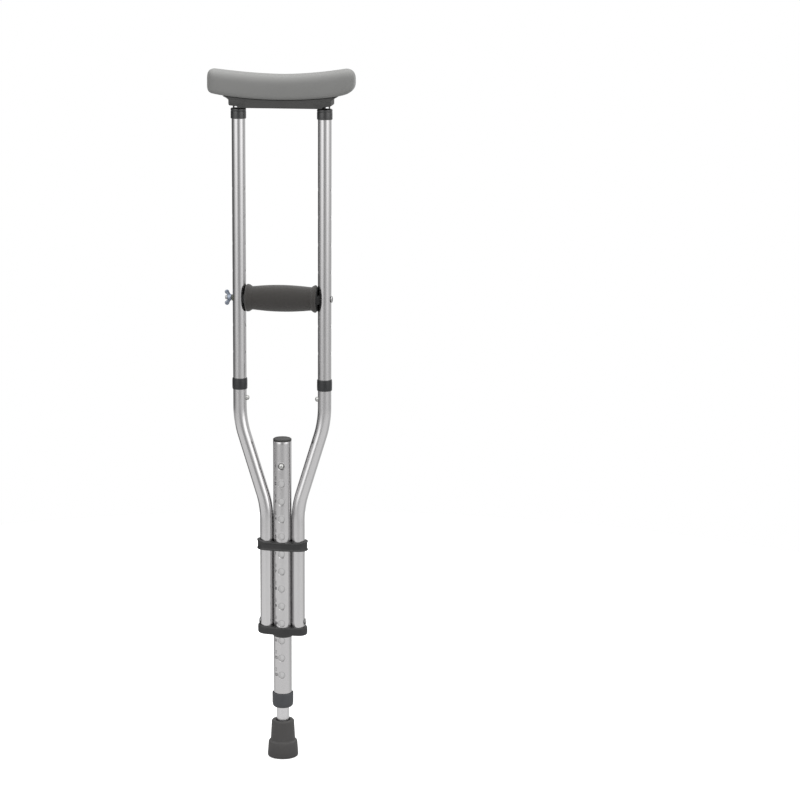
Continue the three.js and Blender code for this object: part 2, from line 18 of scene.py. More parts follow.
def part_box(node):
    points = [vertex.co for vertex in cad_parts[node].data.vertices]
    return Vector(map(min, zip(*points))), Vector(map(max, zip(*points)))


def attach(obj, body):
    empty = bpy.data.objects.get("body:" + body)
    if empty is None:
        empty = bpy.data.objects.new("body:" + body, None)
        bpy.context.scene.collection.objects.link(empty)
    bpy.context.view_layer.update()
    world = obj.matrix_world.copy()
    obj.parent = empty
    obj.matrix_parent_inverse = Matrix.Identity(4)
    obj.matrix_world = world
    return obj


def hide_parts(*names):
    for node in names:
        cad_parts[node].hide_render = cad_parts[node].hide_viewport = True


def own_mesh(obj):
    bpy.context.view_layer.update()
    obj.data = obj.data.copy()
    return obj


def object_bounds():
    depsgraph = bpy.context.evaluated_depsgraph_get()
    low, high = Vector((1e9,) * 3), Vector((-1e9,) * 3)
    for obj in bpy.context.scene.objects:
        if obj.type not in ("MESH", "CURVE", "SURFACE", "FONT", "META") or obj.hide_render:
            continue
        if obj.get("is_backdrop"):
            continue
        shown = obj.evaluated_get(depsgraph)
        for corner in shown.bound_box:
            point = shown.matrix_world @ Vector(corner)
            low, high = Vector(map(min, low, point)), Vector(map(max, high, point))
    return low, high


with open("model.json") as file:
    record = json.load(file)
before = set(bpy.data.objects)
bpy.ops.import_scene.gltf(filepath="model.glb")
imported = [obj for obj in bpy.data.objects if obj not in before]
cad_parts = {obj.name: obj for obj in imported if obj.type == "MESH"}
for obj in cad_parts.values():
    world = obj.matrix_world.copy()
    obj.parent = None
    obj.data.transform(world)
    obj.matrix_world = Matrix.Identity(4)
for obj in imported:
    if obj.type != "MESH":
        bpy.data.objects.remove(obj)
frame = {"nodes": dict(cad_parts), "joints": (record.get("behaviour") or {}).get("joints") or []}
cad_lo, cad_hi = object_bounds()
cad_lo, cad_hi = cad_lo.copy(), cad_hi.copy()
MM = 0.001
TAU = 2 * math.pi
SIDES = (("left", -1), ("right", 1))


# ---------------------------------------------------------------- sizes read from the frame
def box_mm(node):
    lo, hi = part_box(node)
    return [v * 1000 for v in lo], [v * 1000 for v in hi]


def centre(node, axis):
    lo, hi = box_mm(node)
    return (lo[axis] + hi[axis]) / 2


def tube_size(node):
    """Radius, bottom and top of an upright round piece."""
    lo, hi = box_mm(node)
    return (hi[0] - lo[0]) / 2, lo[2], hi[2]


def reach_x(node):
    """Nearest and farthest distance of a side piece from the middle plane."""
    lo, hi = box_mm(node)
    return sorted((abs(lo[0]), abs(hi[0])))


def travel(name):
    """Range of a sliding joint."""
    joint = next(j for j in frame["joints"] if j["name"] == name)
    return [v * 1000 for v in joint["range_m"]]


UP_X = centre("upright_right", 0)
TUBE_R, UP_Z0, UP_Z1 = tube_size("upright_right")
TUBE_WALL = 1.2
SWAGE_R, SWAGE_TOP, SWAGE_TAPER = 8.0, 545.0, 4   # narrowed lower end of each upright
LEG_R, LEG_Z0, LEG_Z1 = tube_size("leg_tube")
EXT_R, EXT_Z0, EXT_Z1 = tube_size("extension_tube")
HOLE_COUNT = 13                                   # height holes, numbered from the top
HOLE_TOP = centre("leg_button", 2)
HOLE_PITCH = travel("leg_extension")[1] / (HOLE_COUNT - 1)
HOLE_R = 4.5
GRIP_Z = centre("grip_bolt", 2)
_grip_low, _grip_high = travel("handgrip_height")
GRIP_PITCH = (_grip_high - _grip_low) / 6
SNAP_Z = centre("snap_button_left", 2)
SNAP_HOLE_R = 3.7
BOW_Z0, BOW_Z1 = tube_size("bow_right")[1:]
BOW_LOW_X = box_mm("bow_right")[0][0] + TUBE_R    # axis of the bow's straight lower end
RIVET_Z = centre("rivet_left", 2)
RIVET_HOLE_R = 2.7
# each bow bends inward below BEND_TOP_Z, then back to upright; radii of the two bends
BEND_TOP_Z, BEND_R1, BEND_R2, BEND_ANGLE = 511.0, 140.0, 126.0, math.radians(17.05)
YOKE_BASE, YOKE_TOP = 181.4, 192.5                # three-tube part of the lower yoke
PUSH_FIT, CLAMP_FIT = 0.3, 0.35                   # gaps between tubes and plastic pieces


# ---------------------------------------------------------------- mesh helpers
def add_object(name, mesh):
    obj = bpy.data.objects.new(name, mesh)
    bpy.context.scene.collection.objects.link(obj)
    return obj


def remove_object(obj):
    mesh = obj.data
    bpy.data.objects.remove(obj)
    bpy.data.meshes.remove(mesh)


def face_outward(mesh, merge=None):
    """Turns the normals outward, after merging vertices closer than `merge` metres."""
    bm = bmesh.new()
    bm.from_mesh(mesh)
    if merge:
        bmesh.ops.remove_doubles(bm, verts=bm.verts, dist=merge)
    bmesh.ops.recalc_face_normals(bm, faces=bm.faces)
    bm.to_mesh(mesh)
    bm.free()


def from_data(name, verts, faces):
    mesh = bpy.data.meshes.new(name)
    mesh.from_pydata([[c * MM for c in v] for v in verts], [], faces)
    mesh.validate()
    face_outward(mesh, merge=2e-6)
    return add_object(name, mesh)


def signed_power(value, exponent):
    return math.copysign(abs(value) ** exponent, value)


def fillet(points, steps=5):
    """Outline with rounded corners, except at its two ends: points are (a, b, radius)."""
    out = []
    for i, (a, b, radius) in enumerate(points):
        if radius <= 0 or i in (0, len(points) - 1):
            out.append((a, b))
            continue
        corner = Vector((a, b))
        back = Vector(points[i - 1][:2]) - corner
        ahead = Vector(points[i + 1][:2]) - corner
        longest = 0.48 * min(back.length, ahead.length)
        back.normalize()
        ahead.normalize()
        angle = math.acos(max(-1, min(1, back.dot(ahead))))
        if angle > math.radians(176):
            out.append((a, b))
            continue
        cut = min(radius / math.tan(angle / 2), longest)
        fitted = cut * math.tan(angle / 2)
        middle = corner + (back + ahead).normalized() * (fitted / math.sin(angle / 2))
        start = corner + back * cut - middle
        end = corner + ahead * cut - middle
        sweep = math.atan2(start.x * end.y - start.y * end.x, start.dot(end))
        for k in range(steps + 1):
            turn = sweep * k / steps
            out.append((middle.x + start.x * math.cos(turn) - start.y * math.sin(turn),
                        middle.y + start.x * math.sin(turn) + start.y * math.cos(turn)))
    return out


def resample(points, step):
    """Adds points on long straight runs, so that cuts stay local."""
    out = []
    for (a, b), (c, d) in zip(points[:-1], points[1:]):
        n = max(1, int(math.hypot(c - a, d - b) / step))
        for k in range(n):
            out.append((a + (c - a) * k / n, b + (d - b) * k / n))
    out.append(points[-1])
    return out


def bridge(first, second):
    """Faces between two rings of vertex numbers; either may be a single vertex."""
    faces = []
    count = max(len(first), len(second))
    for i in range(count):
        j = (i + 1) % count
        if len(first) == 1:
            faces.append((first[0], second[j], second[i]))
        elif len(second) == 1:
            faces.append((first[i], first[j], second[0]))
        else:
            faces.append((first[i], first[j], second[j], second[i]))
    return faces


def stack(sections):
    """Vertices, rows of vertex numbers and side faces through equal closed sections."""
    size = len(sections[0])
    verts = [point for section in sections for point in section]
    rows = [range(i, i + size) for i in range(0, len(verts), size)]
    faces = [face for pair in zip(rows, rows[1:]) for face in bridge(*pair)]
    return verts, rows, faces


def loft(name, sections, closed=False):
    """Skin through the sections, capped, or joined last to first if closed."""
    verts, rows, faces = stack(sections)
    if closed:
        faces += bridge(rows[-1], rows[0])
    else:
        faces += [tuple(rows[0]), tuple(reversed(rows[-1]))]
    return from_data(name, verts, faces)


# where a piece turned about Z goes when its axis points another way
TURNS = {
    "Z": lambda x, y, z: (x, y, z),
    "X": lambda x, y, z: (z, y, -x),
    "-X": lambda x, y, z: (-z, y, x),
    "-Y": lambda x, y, z: (x, -z, y),
}


def revolve(name, profile, segments=96, axis="Z", at=(0, 0, 0)):
    """Turned piece: profile is (radius, height), closed on itself unless it ends on the axis."""
    verts, rings = [], []
    for radius, height in profile:
        count = 1 if radius < 1e-6 else segments
        rings.append(range(len(verts), len(verts) + count))
        for i in range(count):
            angle = TAU * i / segments
            verts.append((radius * math.cos(angle), radius * math.sin(angle), height))
    pairs = list(zip(rings, rings[1:]))
    if max(profile[0][0], profile[-1][0]) >= 1e-6:
        pairs.append((rings[-1], rings[0]))
    faces = [face for pair in pairs for face in bridge(*pair)]
    verts = [[c + d for c, d in zip(TURNS[axis](*v), at)] for v in verts]
    return from_data(name, verts, faces)


def rod(axis, radius, start, end, at=(0, 0, 0), segments=48):
    """Solid cylinder, `start` and `end` measured along the axis in either order."""
    start, end = sorted((start, end))
    profile = [(0, start), (radius, start), (radius, end), (0, end)]
    return revolve("cutter", profile, segments, axis, at)


def slab(x0, x1, y0, y1, z0, z1):
    verts = [(x, y, z) for x in sorted((x0, x1)) for y in (y0, y1) for z in (z0, z1)]
    faces = [(0, 1, 3, 2), (4, 6, 7, 5), (0, 4, 5, 1), (2, 3, 7, 6), (0, 2, 6, 4), (1, 5, 7, 3)]
    return from_data("cutter", verts, faces)


def evaluated_mesh(obj):
    bpy.context.view_layer.update()
    graph = bpy.context.evaluated_depsgraph_get()
    return bpy.data.meshes.new_from_object(obj.evaluated_get(graph))


def modify(obj, kind, **settings):
    modifier = obj.modifiers.new(kind.lower(), kind)
    for key, value in settings.items():
        setattr(modifier, key, value)


def bake(obj):
    """Applies all modifiers."""
    mesh = evaluated_mesh(obj)
    old = obj.data
    obj.modifiers.clear()
    obj.data = mesh
    bpy.data.meshes.remove(old)


def combine(obj, tools, operation="DIFFERENCE"):
    """Boolean with one object, or with a list of several at once; the tools are used up."""
    if isinstance(tools, list):
        group = bpy.data.collections.new("cut")
        for tool in tools:
            group.objects.link(tool)
        operand = {"operand_type": "COLLECTION", "collection": group}
    else:
        group = None
        operand = {"object": tools}
        tools = [tools]
    modify(obj, "BOOLEAN", operation=operation, solver="EXACT", **operand)
    bake(obj)
    if group:
        bpy.data.collections.remove(group)
    for tool in tools:
        remove_object(tool)


def soften(obj, width, segments=2, angle=50):
    """Bevels edges sharper than `angle` degrees."""
    modify(obj, "BEVEL", width=width * MM, segments=segments, limit_method="ANGLE",
           angle_limit=math.radians(angle), use_clamp_overlap=True, harden_normals=False)
    bake(obj)


def join(name, objects):
    bm = bmesh.new()
    for obj in objects:
        bm.from_mesh(obj.data)
    mesh = bpy.data.meshes.new(name)
    bm.to_mesh(mesh)
    bm.free()
    for obj in objects:
        remove_object(obj)
    return add_object(name, mesh)


def finish(obj, body, node, material, angle=40):
    """Smooth-shades a piece (edges over `angle` degrees stay sharp) and registers it."""
    if angle:
        obj.data.shade_smooth()
        obj.data.set_sharp_from_angle(angle=math.radians(angle))
    obj.data.materials.clear()
    obj.data.materials.append(material)
    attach(obj, body)
    if node:
        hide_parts(node)


# ---------------------------------------------------------------- shader helpers
SPREAD = (0.3, 0.7)     # most noise values lie between these
WHITE = (1.0, 1.0, 1.0)


def shade(colour, factor):
    return tuple(min(1, c * factor) for c in colour)


class Graph:
    """A node tree with short builders; any value may be a number, a tuple or a socket."""

    def __init__(self, tree, output):
        self.tree = tree
        tree.nodes.clear()
        self.surface = self.node(output).inputs["Surface"]

    def put(self, socket, value):
        if isinstance(value, bpy.types.NodeSocket):
            self.tree.links.new(value, socket)
        elif socket.type == "RGBA":
            socket.default_value = (*value, 1.0)
        else:
            socket.default_value = value

    def node(self, kind, inputs=None, **settings):
        node = self.tree.nodes.new("ShaderNode" + kind)
        for key, value in settings.items():
            setattr(node, key, value)
        for key, value in (inputs or {}).items():
            self.put(node.inputs[key], value)
        return node

    def coords(self, scale):
        """Object coordinates in metres, times a scale (one number or one per axis)."""
        if not isinstance(scale, tuple):
            scale = (scale,) * 3
        place = self.node("TexCoord").outputs["Object"]
        return self.node("Mapping", {"Scale": scale, "Vector": place}).outputs["Vector"]

    def noise(self, scale, detail=3, rough=0.6, distortion=0.0):
        return self.node("TexNoise", {
            "Scale": 1.0, "Detail": detail, "Roughness": rough, "Distortion": distortion,
            "Vector": self.coords(scale)}).outputs["Fac"]

    def voronoi(self, scale, feature="F1"):
        return self.node("TexVoronoi", {"Scale": 1.0, "Vector": self.coords(scale)},
                         feature=feature).outputs["Distance"]

    def remap(self, value, source=SPREAD, to=(0.0, 1.0), clamp=True):
        return self.node("MapRange", {
            "From Min": source[0], "From Max": source[1], "To Min": to[0], "To Max": to[1],
            "Value": value}, clamp=clamp).outputs["Result"]

    def math(self, operation, *values):
        return self.node("Math", dict(enumerate(values)), operation=operation).outputs[0]

    def add(self, a, b):
        return self.math("ADD", a, b)

    def subtract(self, a, b):
        return self.math("SUBTRACT", a, b)

    def multiply(self, a, b):
        return self.math("MULTIPLY", a, b)

    def mix(self, factor, a, b):
        """Colour a where the factor is 0, b where it is 1."""
        return self.node("Mix", {0: factor, 6: a, 7: b}, data_type="RGBA").outputs[2]

    def split(self, vector):
        return tuple(self.node("SeparateXYZ", {0: vector}).outputs)

    def split_object(self):
        return self.split(self.node("TexCoord").outputs["Object"])

    def split_geometry(self, output):
        return self.split(self.node("NewGeometry").outputs[output])

    def edges(self, low, high):
        """Mask of convex edges."""
        return self.remap(self.node("NewGeometry").outputs["Pointiness"], (low, high))

    def show(self, others, camera):
        """Surface with one shader for the camera's rays and one for all others."""
        is_camera = self.node("LightPath").outputs["Is Camera Ray"]
        mixed = self.node("MixShader", {0: is_camera, 1: others, 2: camera})
        self.put(self.surface, mixed.outputs[0])


class Shader(Graph):
    """A new material with one Principled node."""

    def __init__(self, name):
        self.material = bpy.data.materials.new(name)
        self.material.use_nodes = True
        super().__init__(self.material.node_tree, "OutputMaterial")
        self.bsdf = self.node("BsdfPrincipled")
        self.normal = None
        self.put(self.surface, self.bsdf.outputs["BSDF"])

    def set(self, inputs):
        for key, value in inputs.items():
            self.put(self.bsdf.inputs[key], value)

    def bump(self, height, strength, distance):
        """Adds a bump on top of the earlier ones; distance is in mm."""
        inputs = {"Strength": strength, "Distance": distance * MM, "Height": height}
        if self.normal is not None:
            inputs["Normal"] = self.normal
        self.normal = self.node("Bump", inputs).outputs["Normal"]
        self.set({"Normal": self.normal})


# ---------------------------------------------------------------- materials
def aluminium(name, base, rough, layer=None):
    """Drawn, anodised tube; `layer` may add to its colour."""
    shader = Shader(name)
    add, multiply, remap = shader.add, shader.multiply, shader.remap
    lines = shader.noise((2600, 2600, 26))              # drawn lines along the tube
    cloud = shader.noise((26, 26, 7), rough=0.5)        # slow tone change of the film
    speck = shader.noise((900, 900, 700), detail=2, rough=0.7)
    tone = add(remap(lines, to=(-0.3, 0.3), clamp=False), remap(cloud, to=(-0.6, 0.6), clamp=False))
    colour = shader.mix(remap(tone, (-1.0, 1.0)), shade(base, 0.96), shade(base, 1.035))
    scuff = shader.noise((70, 70, 22), detail=5, rough=0.75, distortion=0.6)
    scuff = remap(scuff, (0.66, 0.78))
    colour = shader.mix(multiply(scuff, 0.18), colour, shade(base, 0.8))
    gloss = add(remap(lines, to=(-0.02, 0.02), clamp=False),
                remap(speck, to=(rough - 0.015, rough + 0.02), clamp=False))
    shader.bump(lines, strength=0.035, distance=0.02)
    shader.bump(speck, strength=0.018, distance=0.02)
    if layer:
        colour = layer(shader, base, colour)
    shader.set({"Metallic": 1.0, "Base Color": colour,
                "Roughness": add(gloss, multiply(scuff, 0.10))})
    return shader.material


def leg_layer(shader, base, colour):
    """Painted shade: darker metal in the holes and inside the leg, and a thin dark ring painted
    round each height hole on the front.
    """
    add, multiply, remap, calc = shader.add, shader.multiply, shader.remap, shader.math
    bore = (LEG_R - 0.15) * MM
    last = float(HOLE_COUNT - 1)
    x, y, z = shader.split_object()
    radius = calc("SQRT", add(multiply(x, x), multiply(y, y)))
    # painted shade on the hole walls and the inside of the leg
    hole_shade = remap(radius, (bore - 0.00025, bore), to=(1.0, 0.0))
    colour = shader.mix(hole_shade, colour, shade(base, 0.32))
    # height counted in holes, and its distance from the nearest hole in metres
    step = remap(z, ((HOLE_TOP - last * HOLE_PITCH) * MM, HOLE_TOP * MM), to=(-last, 0.0),
                 clamp=False)
    nearest = calc("MINIMUM", calc("MAXIMUM", calc("ROUND", step), -last), 0.0)
    rise = multiply(shader.subtract(step, nearest), HOLE_PITCH * MM)
    away = calc("SQRT", add(multiply(rise, rise), multiply(x, x)))
    off_ring = calc("ABSOLUTE", shader.subtract(away, (HOLE_R + 0.15) * MM))
    on_front = remap(y, (-0.006, -0.004), to=(1.0, 0.0))
    # painted shade: a thin dark ring round each hole, on the front only
    ring = multiply(remap(off_ring, (0.00018, 0.00045), to=(0.6, 0.0)), on_front)
    return shader.mix(ring, colour, shade(base, 0.30))


def extension_layer(shader, base, colour):
    """Painted light inside the leg: a glow stands in for the light that bounces about between the
    two tubes, over metal painted darker there as shade.
    """
    remap, multiply = shader.remap, shader.multiply
    bottom, top = LEG_Z0 * MM + 0.012, LEG_Z1 * MM
    occlusion = shader.node("AmbientOcclusion", {"Distance": 0.010}, samples=8).outputs["AO"]
    z = shader.split_geometry("Position")[2]
    within = multiply(remap(z, (bottom, bottom + 0.01)), remap(z, (top - 0.01, top), to=(1.0, 0.0)))
    # painted glow, stronger where the tube is hidden from the light
    lift = multiply(remap(occlusion, (0.1, 0.95), to=(0.46, 0.34)), within)
    shader.set({"Emission Color": (1.0, 0.99, 0.99), "Emission Strength": lift})
    # painted shade: the metal is darker inside the leg
    return shader.mix(within, colour, shade(base, 0.22))


def bright_metal(name, base, rough, patch, rim):
    """Plated or polished metal; `patch` is how strong the cells are, `rim` the grazing tint."""
    shader = Shader(name)
    cells = shader.voronoi(420)
    grain = shader.noise(1500)
    colour = shader.mix(shader.remap(cells, (0.1, 0.9), to=(0.0, patch)), base, shade(base, 0.78))
    colour = shader.mix(shader.edges(low=0.50, high=0.62), colour, shade(base, 1.15))
    shader.set({"Metallic": 1.0, "Specular Tint": rim, "Base Color": colour,
                "Roughness": shader.remap(grain, to=(rough - 0.05, rough + 0.09), clamp=False)})
    shader.bump(grain, strength=0.12, distance=0.03)
    shader.bump(cells, strength=0.05, distance=0.05)
    return shader.material


def plastic(name, base, rough=0.5, grain=1.0, spec=0.45, edge=1.5):
    """Moulded plastic; `grain` scales its bumps, `edge` is how much paler its edges are."""
    shader = Shader(name)
    fine = shader.noise(2300, detail=2)
    spark = shader.voronoi(1500)
    cloud = shader.noise(60, detail=4)
    colour = shader.mix(shader.remap(cloud), shade(base, 0.88), shade(base, 1.12))
    rubbed = shader.multiply(shader.edges(low=0.51, high=0.60), 0.55)
    colour = shader.mix(rubbed, colour, shade(base, edge))
    shader.set({"Base Color": colour, "Specular IOR Level": spec, "Coat Roughness": 0.25,
                "Roughness": shader.remap(cloud, to=(rough - 0.05, rough + 0.07), clamp=False)})
    shader.bump(spark, strength=0.18 * grain, distance=0.05)
    shader.bump(fine, strength=0.22 * grain, distance=0.04)
    return shader.material


def pad_skin(name, base):
    shader = Shader(name)
    cells = shader.voronoi(950, "DISTANCE_TO_EDGE")     # leather-like grain, about 1 mm
    fine = shader.noise(2600, rough=0.65)
    cloud = shader.noise(16, detail=4)
    colour = shader.mix(shader.remap(cloud), shade(base, 0.95), shade(base, 1.05))
    crease = shader.remap(cells, (0.0, 0.16), to=(1.0, 0.0))
    colour = shader.mix(shader.multiply(crease, 0.16), colour, shade(base, 0.72))
    up = shader.split_geometry("Normal")[2]
    painted_top_light = shader.remap(up, (0.25, 1.0), to=(0.0, 0.5))     # painted highlight: paler where the skin faces up
    colour = shader.mix(painted_top_light, colour, shade(base, 1.42))
    shader.set({"Base Color": colour, "Specular IOR Level": 0.42,
                "Roughness": shader.remap(cloud, to=(0.50, 0.60), clamp=False),
                "Sheen Weight": 0.12, "Sheen Roughness": 0.5})
    shader.bump(shader.remap(cells, (0.0, 0.25)), strength=0.22, distance=0.06)
    shader.bump(fine, strength=0.16, distance=0.05)
    return shader.material


def foam(name, base):
    shader = Shader(name)
    pores = shader.voronoi(1500)
    fine = shader.noise(3200, rough=0.7)
    cloud = shader.noise(70, detail=4)
    hole = shader.remap(pores, (0.02, 0.28), to=(1.0, 0.0))
    colour = shader.mix(shader.remap(cloud), shade(base, 0.9), shade(base, 1.12))
    colour = shader.mix(shader.multiply(hole, 0.5), colour, shade(base, 0.5))
    shader.set({"Base Color": colour, "Specular IOR Level": 0.35,
                "Roughness": shader.remap(cloud, to=(0.72, 0.86), clamp=False),
                "Sheen Weight": 0.18, "Sheen Roughness": 0.6})
    shader.bump(shader.remap(pores, (0.0, 0.3)), strength=0.35, distance=0.06)
    shader.bump(fine, strength=0.3, distance=0.05)
    return shader.material


def rubber(name, base):
    shader = Shader(name)
    fine = shader.noise(2200, rough=0.65)
    cloud = shader.noise(45, detail=5, rough=0.65)
    dust = shader.noise((110, 110, 60), detail=6, rough=0.7, distortion=0.4)
    dust = shader.remap(dust, (0.5, 0.75), to=(0.0, 0.35))
    colour = shader.mix(shader.remap(cloud), shade(base, 0.9), shade(base, 1.1))
    colour = shader.mix(dust, colour, tuple(c * 1.35 + 0.004 for c in base))
    rubbed = shader.multiply(shader.edges(low=0.51, high=0.60), 0.5)
    colour = shader.mix(rubbed, colour, shade(base, 1.5))
    low = shader.remap(shader.split_object()[2], (0.0, 0.019), to=(0.9, 0.0))
    colour = shader.mix(low, colour, shade(base, 0.72))     # darker near the floor
    shader.set({"Base Color": colour, "Specular IOR Level": 0.4,
                "Roughness": shader.remap(cloud, to=(0.58, 0.72), clamp=False)})
    shader.bump(fine, strength=0.25, distance=0.05)
    shader.bump(cloud, strength=0.1, distance=0.1)
    return shader.material


BLUE_RIM = (0.13, 0.15, 0.19)
ALU = aluminium("anodised_aluminium", (0.556, 0.549, 0.552), rough=0.165)
ALU_LEG = aluminium("leg_aluminium", (0.538, 0.530, 0.533), rough=0.165, layer=leg_layer)
ALU_EXT = aluminium("extension_aluminium", (0.60, 0.595, 0.60), rough=0.24, layer=extension_layer)
ZINC = bright_metal("zinc_plate", (0.205, 0.23, 0.275), rough=0.17, patch=0.4, rim=BLUE_RIM)
STEEL = bright_metal("bolt_steel", (0.44, 0.44, 0.44), rough=0.16, patch=0.3, rim=(0.12,) * 3)
NICKEL = bright_metal("nickel_dome", (0.41, 0.41, 0.40), rough=0.06, patch=0.15, rim=(0.08,) * 3)
SPRING = bright_metal("spring_steel", (0.45, 0.45, 0.46), rough=0.3, patch=0.3, rim=BLUE_RIM)
COLLAR = plastic("black_collar_plastic", (0.011, 0.012, 0.012), rough=0.25, grain=0.5, spec=0.85)
MID_COLLAR = plastic("mid_collar_plastic", (0.0065, 0.0072, 0.0082), rough=0.33, grain=0.5,
                     spec=0.55)
CLAMP = plastic("clamp_plastic", (0.0135, 0.0135, 0.0137), rough=0.48)
SADDLE = plastic("saddle_plastic", (0.0285, 0.0285, 0.0275))
BUSH = plastic("bush_plastic", (0.033, 0.035, 0.039))
CAP = plastic("cap_plastic", (0.021, 0.0205, 0.020), rough=0.48)
CUP = plastic("cup_plastic", (0.004, 0.004, 0.004), spec=0.25)
PAD = pad_skin("pad_skin", (0.151, 0.1515, 0.147))
FOAM = foam("grip_foam", (0.0207, 0.0184, 0.0163))
WASHER = plastic("washer_plastic", (0.085, 0.090, 0.070))
RUBBER = rubber("tip_rubber", (0.0405, 0.0385, 0.0378))
PRINT = plastic("mark_print", (0.03, 0.03, 0.033), rough=0.6, grain=0.3, spec=0.2, edge=1.0)


# ---------------------------------------------------------------- underarm pad and its saddle
def seam(x, base):
    """Height of the curved seam between the pad and its saddle."""
    return base + 5.2 * (x / 78) ** 2


def rounding(distance, radius, power):
    """How far a superelliptic end has curved in, at a distance from the end."""
    if distance >= radius:
        return 0.0
    return radius * (1 - max(0.0, 1 - (1 - distance / radius) ** power) ** (1 / power))


def pad_piece():
    """Lofted across X, with a top that rises toward both ends."""
    lo, hi = box_mm("underarm_pad")
    half, depth = (hi[0] - lo[0]) / 2, (hi[1] - lo[1]) / 2
    bottom, crown = 940.0, 975.0
    ring_size = 72
    end_length, dome = 24, 0.9
    # stations get denser toward the two ends
    ends = [end_length * (i / 44) ** 2 for i in range(45)]
    stations = [-half + e for e in ends]
    stations += [-half + end_length + (2 * half - 2 * end_length) * i / 56 for i in range(1, 57)]
    stations += [half - e for e in reversed(ends[:-1])]
    sections = []
    for x in stations:
        # extra rise and rounding of the top, extra rise and rounding of the underside
        rise, top_round, lift, low_round = (2.0, 15.0, 2.6, 11.5) if x > 0 else (-0.5, 9.5, 0.4, 8.0)
        from_end = half - abs(x)
        top = crown + 6.6 * min(1.15, abs(x) / 90) ** 1.7 - 0.3
        top += rise * min(1.2, abs(x) / 90) ** 2 - rounding(from_end, top_round, 2.1)
        # beyond the saddle the underside sweeps up to the ends
        beyond = max(0.0, abs(x) - 70) / 25
        low = seam(x, bottom) + lift * beyond ** 1.8 + rounding(from_end, low_round, 2.2)
        width = depth - 0.3 - rounding(from_end, 17.0, 2.2)
        ring = []
        for k in range(ring_size):
            across, up = math.cos(TAU * k / ring_size), math.sin(TAU * k / ring_size)
            # squarer below than above
            power_y, power_z = (2.9, 2.75) if up > 0 else (6.5, 6.5)
            ring.append((x, width * signed_power(across, 2 / power_y),
                         (top + low) / 2 + (top - low) / 2 * signed_power(up, 2 / power_z)))
        sections.append(ring)
    verts, rows, faces = stack(sections)
    for previous, ring, outward in ((rows[0], sections[0], -1), (rows[-1], sections[-1], 1)):
        end_x = ring[0][0]
        mid_y = sum(p[1] for p in ring) / ring_size
        mid_z = sum(p[2] for p in ring) / ring_size
        for scale in (0.86, 0.7, 0.52, 0.34, 0.17):
            current = range(len(verts), len(verts) + ring_size)
            cap_x = end_x + outward * dome * (1 - scale * scale)
            verts += [(cap_x, mid_y + (y - mid_y) * scale, mid_z + (z - mid_z) * scale)
                      for _, y, z in ring]
            faces += bridge(previous, current)
            previous = current
        verts.append((end_x + outward * dome, mid_y, mid_z))
        faces += bridge(previous, [len(verts) - 1])
    pad = from_data("pad_foam_body", verts, faces)
    modify(pad, "SMOOTH", factor=0.5, iterations=3)
    bake(pad)
    for v in pad.data.vertices:        # keep inside the pad's length
        v.co.x = max(-half * MM, min(half * MM, v.co.x))
    finish(pad, "frame", "underarm_pad", PAD, angle=60)


def saddle_piece():
    lo, hi = box_mm("pad_saddle")
    depth = (hi[1] - lo[1]) / 2
    base = 939.9
    # underside of the right half: (x, height, fillet)
    underside = fillet([
        (0, 928.9, 0), (57.2, 928.9, 0.9), (59.3, 931.2, 1.1), (69.4, 932.3, 0.9),
        (70.6, 933.6, 0.9), (70.7, 940.0, 1.2), (73.6, 942.5, 3),
        (78.5, seam(78.5, base) - 0.2, 0)], 7)
    underside = resample(underside, 1.5)
    sections = []
    for x, low in [(-x, z) for x, z in reversed(underside)] + underside[1:]:
        top = seam(x, base)
        radius = min(1.5, max(0.3, top - low) * 0.45)
        ring = [(x, depth, top - 0.05)]
        for mid_y, start in ((depth - radius, 0), (-depth + radius, -90)):
            for i in range(7):
                angle = math.radians(start - 90 * i / 6)
                ring.append((x, mid_y + radius * math.cos(angle),
                             low + radius + radius * math.sin(angle)))
        ring.append((x, -depth, top - 0.05))
        sections.append(ring)
    saddle = loft("saddle_tray", sections)
    stem_z0, stem_z1, neck_z0, neck_z1 = 901, 925.9, 925.4, 934
    # per side: distances outward from the upright's axis, half depth, bottom, top,
    # bevel width and segments
    blocks = [(-7.2, 1.2, 3.6, neck_z0, neck_z1, 0.5, 2),               # inner half above the stem
              (5.7, 7.2, 3.3, neck_z0, neck_z1, 0.35, 2),               # thin outer rib
              (-13.0, 10.4, depth + 0.4, 933.4, 939.8, 0.9, 3)]         # raised end block
    for _, sign in SIDES:
        x = sign * UP_X
        # cross-ribbed stem inside the upright
        combine(saddle, slab(x - 7.4, x + 7.4, -1.5, 1.5, stem_z0, stem_z1), "UNION")
        combine(saddle, slab(x - 1.5, x + 1.5, -7.4, 7.4, stem_z0, stem_z1), "UNION")
        for inner, outer, half, z0, z1, bevel, segments in blocks:
            block = slab(x + sign * inner, x + sign * outer, -half, half, z0, z1)
            soften(block, bevel, segments, angle=30)
            combine(saddle, block, "UNION")
    soften(saddle, 0.25)
    finish(saddle, "frame", "pad_saddle", SADDLE, angle=32)


# ---------------------------------------------------------------- tubes
def straight_tube(name, outer, inner, segments=96, step=6.0, at=(0, 0, 0)):
    """outer and inner are (radius, z, fillet) from the top down."""
    profile = resample(fillet(outer, 4), step) + resample(fillet(inner, 4), step)[::-1]
    return revolve(name, profile, segments, "Z", at)


def plain_tube(name, radius, z0, z1, rim, segments, step):
    """Tube of one bore; `rim` is the fillet of its outer edges."""
    bore = radius - TUBE_WALL
    return straight_tube(
        name, [(bore + 0.2, z1, 0), (radius, z1, rim), (radius, z0, rim), (bore + 0.2, z0, 0)],
        [(bore, z1 - 0.3, 0), (bore, z0 + 0.3, 0)], segments, step)


def snap_hole(sign):
    """Cutter for the button's hole on the inner side of an upright."""
    return rod("X", SNAP_HOLE_R, 0, -sign * 14, (sign * UP_X, 0, SNAP_Z), 40)


